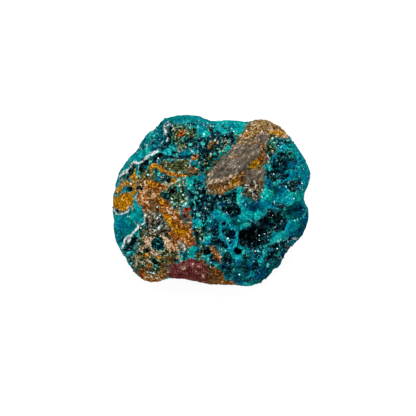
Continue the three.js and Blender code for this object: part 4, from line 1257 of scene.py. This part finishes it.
# %% Colours of the minerals
MINERALS = {
    # mineral: (pattern, dullness, how far its facets lean, one or two ramps from groove to peak)
    "crust": ("cloudy", 0.3, 0.15, "022a2e 03474a 04605f 067170 08817d 0a8f8a 129d96 34b4ac",
              "012136 023d4e 035365 056678 077789 098796 0e98a6 2cb0bb"),
    # deep and bright carry painted shade and painted light as well as the crust's own tone
    "deep": ("cloudy", 0.2, 0.3, "001214 012226 033036 063e44 094c50 0c5c5e 127270 30968e",
             "000c1c 02182e 042642 063454 084362 0c5472 126c88 2e94a6"),
    "bright": ("cloudy", 0.3, 0.15, "03544f 04726e 068a84 089c95 0eaea5 1abeb3 52d4c8",
               "024f57 03676f 047e84 069296 08a4a6 16b4b6 4cccce"),
    "druse": ("grainy", 0.14, 0.7, "030a09 061613 0b2622 113a36 184e48 22685e 388a7e 84bcb0",
              "02060e 040e1c 081a2c 0e2a3e 153e52 1f5669 387a8a 7ab4be"),
    "blue": ("cloudy", 0.25, 0.2, "003044 00485c 006070 007080 008290 18a0ac",
             "00283e 004056 00566e 006884 007a9a 1096b4"),
    "moss": ("grainy", 0.25, 0.5, "060f0a 142416 233824 304a30 435837 5a6d48 7c906c c4cdac",
             "080e06 192214 2a351f 3b4429 4d532f 636740 878a64 c7c7a5"),
    "mint": ("grainy", 0.25, 0.5, "0c2a20 365040 566e58 7c9880 c8d8c4",
             "1a2c18 304832 42583e 526a50 68785c 828f70 a6b294 d4d8c0"),
    "olive": ("grainy", 0.3, 0.3, "20280f 343c1f 444a2b 50563a 5c6145 6c704f 8a8f70 c4c4a4"),
    "quartz": ("lined", 0.25, 0.3, "443a2f 564c40 62584b 6c6155 766b5e 83786b a29688 e2d8ca",
               "3f382d 4f473d 5a5349 645c52 6e665b 7a7468 969084 d8d2c6"),
    "grey": ("grainy", 0.25, 0.4, "1c1a14 302c22 45423a 534f45 5f5b50 74746a 9aa096 d8dcd4",
             "2c231a 3e3428 4c4034 5c5142 6a5e4a 7a6c56 948a76 cfc6b4"),
    "brown": ("streaky", 0.3, 0.3, "3e2412 53361d 604327 6c4f31 7a5b39 8a6b4a ae9074"),
    "rust": ("streaky", 0.35, 0.3, "451f08 62350d 774714 85551f 92622a a5733a c4965a ecd0a0",
             "431a08 602e0e 784214 88511e 965f28 a8723a c4945e ead0a6"),
    "tan": ("streaky", 0.35, 0.3, "48341c 624a2c 785e38 886e40 967c4e aa9266 c8b28c eee0c8",
            "3c2a18 583e24 705632 806440 90744e a68c68 c6b090 f0e0ca"),
    "ochre": ("streaky", 0.45, 0.2, "644004 865808 a06c08 b27a0a c2850c d29414 e2ac3c f6dc96",
              "583a08 74520e 8c6814 9c761a b48010 cc8a10 dca23a f4d48a"),
    "maroon": ("sugary", 0.3, 0.3, "3e1112 4e1c1d 582828 63312f 6e3d3a 7e4e4a a0736e e0bab4"),
    "red": ("streaky", 0.3, 0.3, "3a0c04 6a2008 8a2e0e a23c14 b8532a d08a60"),
    "rose": ("streaky", 0.4, 0.3, "5c4634 8a6e54 a4886a b6997a c4a98c d3bba2 eadac8"),
    "pale": ("grainy", 0.4, 0.2, "4a5856 728280 96a4a2 b2beba ccd8d4 eaf2f0"),
    "turquoise": ("cloudy", 0.2, 0.3, "004a4c 006a68 00857f 069c94 3cbcb0 a0e4d8"),
    "navy": ("grainy", 0.15, 0.5, "04142a 072548 0a3a62 0e4e74 146486 20869a 60babe",
             "031a20 062c34 0a484e 0e5e62 14787a 2c9c98 80ccc4"),
    "strut": ("cloudy", 0.3, 0.15, "003646 004d60 006074 007086 007e94 0c96a8 38b2bc"),
    "hole": ("grainy", 0.15, 0.7, "010204 02050b 030a14 05121f 0a2031 1b4658"),
}
print(sum(len(ramps) for _, _, _, *ramps in MINERALS.values()), "ramps for", len(MINERALS), "minerals")

# %% One colour from all of them
hue = stretched(ore.noise(place, scale=0.55, detail=4.0), 0.42, 0.58)
loose = ore.maths("SUBTRACT", fine["Fac"], 0.5)
stray = ore.maths("SUBTRACT", cell_values["Green"], 0.5)
for mineral, (pattern, dull, leaning, *ramps) in MINERALS.items():
    own_colour, *second = [ore.ramp(PATTERNS[pattern], colours) for colours in ramps]
    if second:
        own_colour = ore.mixed(hue, own_colour, *second)
    if mineral == "crust":
        colour, dullness, lean = own_colour, dull, leaning
        continue
    raggedness, scatter = BORDERS[mineral]
    edge = ore.maths("MULTIPLY_ADD", loose, raggedness, ore.attribute(mineral))
    edge = ore.maths("MULTIPLY_ADD", stray, scatter, edge)
    fade = CLOUDED_BORDER if mineral in SHADES_OF_CRUST else CLEAR_BORDER
    here = ore.between(edge, -fade, fade)
    colour = ore.mixed(here, colour, own_colour)
    dullness = ore.between(here, 0, 1, dullness, dull)
    lean = ore.between(here, 0, 1, lean, leaning)
print("the colour takes", len(ore.nodes), "nodes")

# %% [markdown]
# The bumps that are too fine for the mesh are a Bump node's. Each small facet also leans its own way,
# far on druse and hardly at all on crust, which makes neighbouring grains catch the light in turn.
# The skin itself has no gloss, because a dull, rough stone mirrors nothing: the shine is left to the
# crystals and the quartz grains.

# %% Facets and finish of the skin
bump_height = ore.maths("ADD", ore.maths("MULTIPLY", cells["Distance"], -0.6), fine["Fac"])
bump = ore.add("Bump", {"Height": bump_height, "Strength": 0.8, "Distance": 0.15 * MM})["Normal"]
turned = ore.vector("NORMALIZE", {0: shaken(bump, facets["Color"], lean)})
ore.fill(ore.shader, {"Base Color": colour, "Roughness": dullness, "Normal": turned,
                      "Specular IOR Level": 0.0})
print("the skin's material has", len(ore.nodes), "nodes")


# %% Materials of the crystals and grains
def speckled(name, colours, dullness, clear, ior, gloss):
    """A material whose colour comes from each copy's tone, with fine mottling inside it."""
    tree = Tree(name)
    mottle = tree.noise(tree.millimetres(), scale=5.0, detail=2.0)["Fac"]
    own_tone = tree.maths("ADD", tree.attribute("tone"), tree.between(mottle, 0.3, 0.7, -0.12, 0.12))
    bump = tree.add("Bump", {"Height": mottle, "Strength": 0.25, "Distance": 0.05 * MM})["Normal"]
    tree.fill(tree.shader, {"Base Color": tree.ramp(own_tone, colours), "Roughness": dullness, "IOR": ior,
                            "Specular IOR Level": gloss, "Transmission Weight": clear, "Normal": bump})
    return tree.material


dark_dioptase = speckled("dark_dioptase", "02080c 04121b 08202c 0c3340 124c58 1c6a74 369096 80c8c6",
                         dullness=0.08, clear=0.3, ior=1.66, gloss=0.45)
teal_dioptase = speckled("teal_dioptase", "02202a 043844 06505a 086a72 148486 4cb4ac",
                         dullness=0.12, clear=0.25, ior=1.66, gloss=0.3)
grey_quartz = speckled("grey_quartz", "4a4234 5e5446 6c6254 7c7062 9a8e80 eae0d2",
                       dullness=0.2, clear=0.3, ior=1.55, gloss=0.3)
# Near white as a painted glint, with real gloss that also mirrors the small lamps
painted_glint_crystal = speckled("crystal_with_painted_glint", "4cb0b0 78d2d2 9ce8ea bcf6f8 d2fdff ecffff",
                        dullness=0.15, clear=0.0, ior=1.55, gloss=0.45)
FINISHES = [
    # (piece, record slot, material)
    (stone_skin, "copper_ore", ore.material), (ore_grains, "copper_ore", ore.material),
    (druse_crystals, "dioptase", dark_dioptase), (crust_crystals, "dioptase", teal_dioptase),
    (quartz_grains, "quartz", grey_quartz), (glint_crystals, "quartz", painted_glint_crystal),
]
for piece, slot, material in FINISHES:
    piece.data.materials.clear()
    piece.data.materials.append(material)
    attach(piece, "root")
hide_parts("dioptase_nugget")
print(len(FINISHES), "pieces finished")

# %% [markdown]
# ## Floor, light and camera
#
# A plain pale floor and soft light from a few sides keep the attention on the stone. The floor glows
# a little, so that it stays pale right up to the stone, and it is wide enough to hide its own edge in
# low views. Small lamps among the soft ones are there for the crystals: a flat, shiny face shows a
# lamp as a sparkle only when it happens to mirror it, which is what makes a druse glitter. The camera
# looks straight down on the crystal-lined face, through a long lens so that the sides don't lean in.

# %% Floor
FLOOR_HALF = 0.35  # m
bm = bmesh.new()
bmesh.ops.create_grid(bm, x_segments=1, y_segments=1, size=FLOOR_HALF)
floor = show("floor", mesh_of(bm, "floor"))
white = Tree("floor_white")
white.fill(white.shader, {"Base Color": (0.35, 0.35, 0.35, 1), "Roughness": 0.9, "Specular IOR Level": 0.0,
                          "Emission Color": (1, 1, 1, 1), "Emission Strength": 0.65})
floor.data.materials.append(white.material)
print("the floor is", 2 * FLOOR_HALF, "m wide")

# %% Light from all round
WALL_LIGHT, CEILING_LIGHT = 1.0, 0.06
studio = bpy.data.worlds.new("studio")
studio.use_nodes = True
nodes, links = studio.node_tree.nodes, studio.node_tree.links
height = nodes.new("ShaderNodeSeparateXYZ")
links.new(nodes.new("ShaderNodeTexCoord").outputs["Generated"], height.inputs[0])
shade = nodes.new("ShaderNodeMapRange")
links.new(height.outputs["Z"], shade.inputs["Value"])
for key, value in (("From Min", 0.05), ("From Max", 0.2), ("To Min", WALL_LIGHT), ("To Max", CEILING_LIGHT)):
    shade.inputs[key].default_value = value
links.new(shade.outputs["Result"], nodes["Background"].inputs["Strength"])
nodes["Background"].inputs["Color"].default_value = (1, 1, 1, 1)
bpy.context.scene.world = studio
print("walls", WALL_LIGHT, "and ceiling", CEILING_LIGHT)

# %% Lamps
LAMP_DISTANCE = 0.6
middle = Vector((0, 0, high.z * MM * 0.6))


def lamp(name, azimuth, elevation, size, light):
    """A square lamp that faces the stone. Azimuth 0 is over -Y, and 90 over +X."""
    data = bpy.data.lights.new(name, "AREA")
    data.size, data.energy = size, light
    a, e = math.radians(azimuth), math.radians(elevation)
    way = Vector((math.sin(a) * math.cos(e), -math.cos(a) * math.cos(e), math.sin(e)))
    holder = show(name, data)
    holder.location = middle + way * LAMP_DISTANCE
    holder.rotation_euler = way.to_track_quat("Z", "Y").to_euler()


lamp("key", azimuth=172, elevation=55, size=0.2, light=2.3)
lamp("fill", azimuth=330, elevation=50, size=0.2, light=0.7)
SPARKLERS = pairs([10,52, 45,68, 80,50, 115,64, 150,75, 195,60, 230,72, 265,54, 300,66, 335,48])
for number, (azimuth, elevation) in enumerate(SPARKLERS):
    lamp(f"sparkle_{number}", azimuth, elevation, size=0.03, light=0.17)
print("2 soft lamps and", len(SPARKLERS), "small ones")

# %% Camera
STONE_SHARE = 0.47356  # the stone's width, as a share of the view's
camera_data = bpy.data.cameras.new("camera")
camera_data.sensor_width = 36.0
camera_data.lens = EYE_DISTANCE * STONE_SHARE / (high.x - low.x) * camera_data.sensor_width
camera_data.clip_start = 0.01
camera = show("camera", camera_data)
camera.location = Vector((MIDDLE[0], MIDDLE[1], EYE_LEVEL + EYE_DISTANCE)) * MM
bpy.context.scene.camera = camera
bpy.context.scene.view_settings.view_transform = "Standard"
bpy.context.scene.view_settings.look = "Medium High Contrast"
print("camera", round(camera.location.z, 3), "m up, lens", round(camera_data.lens), "mm")
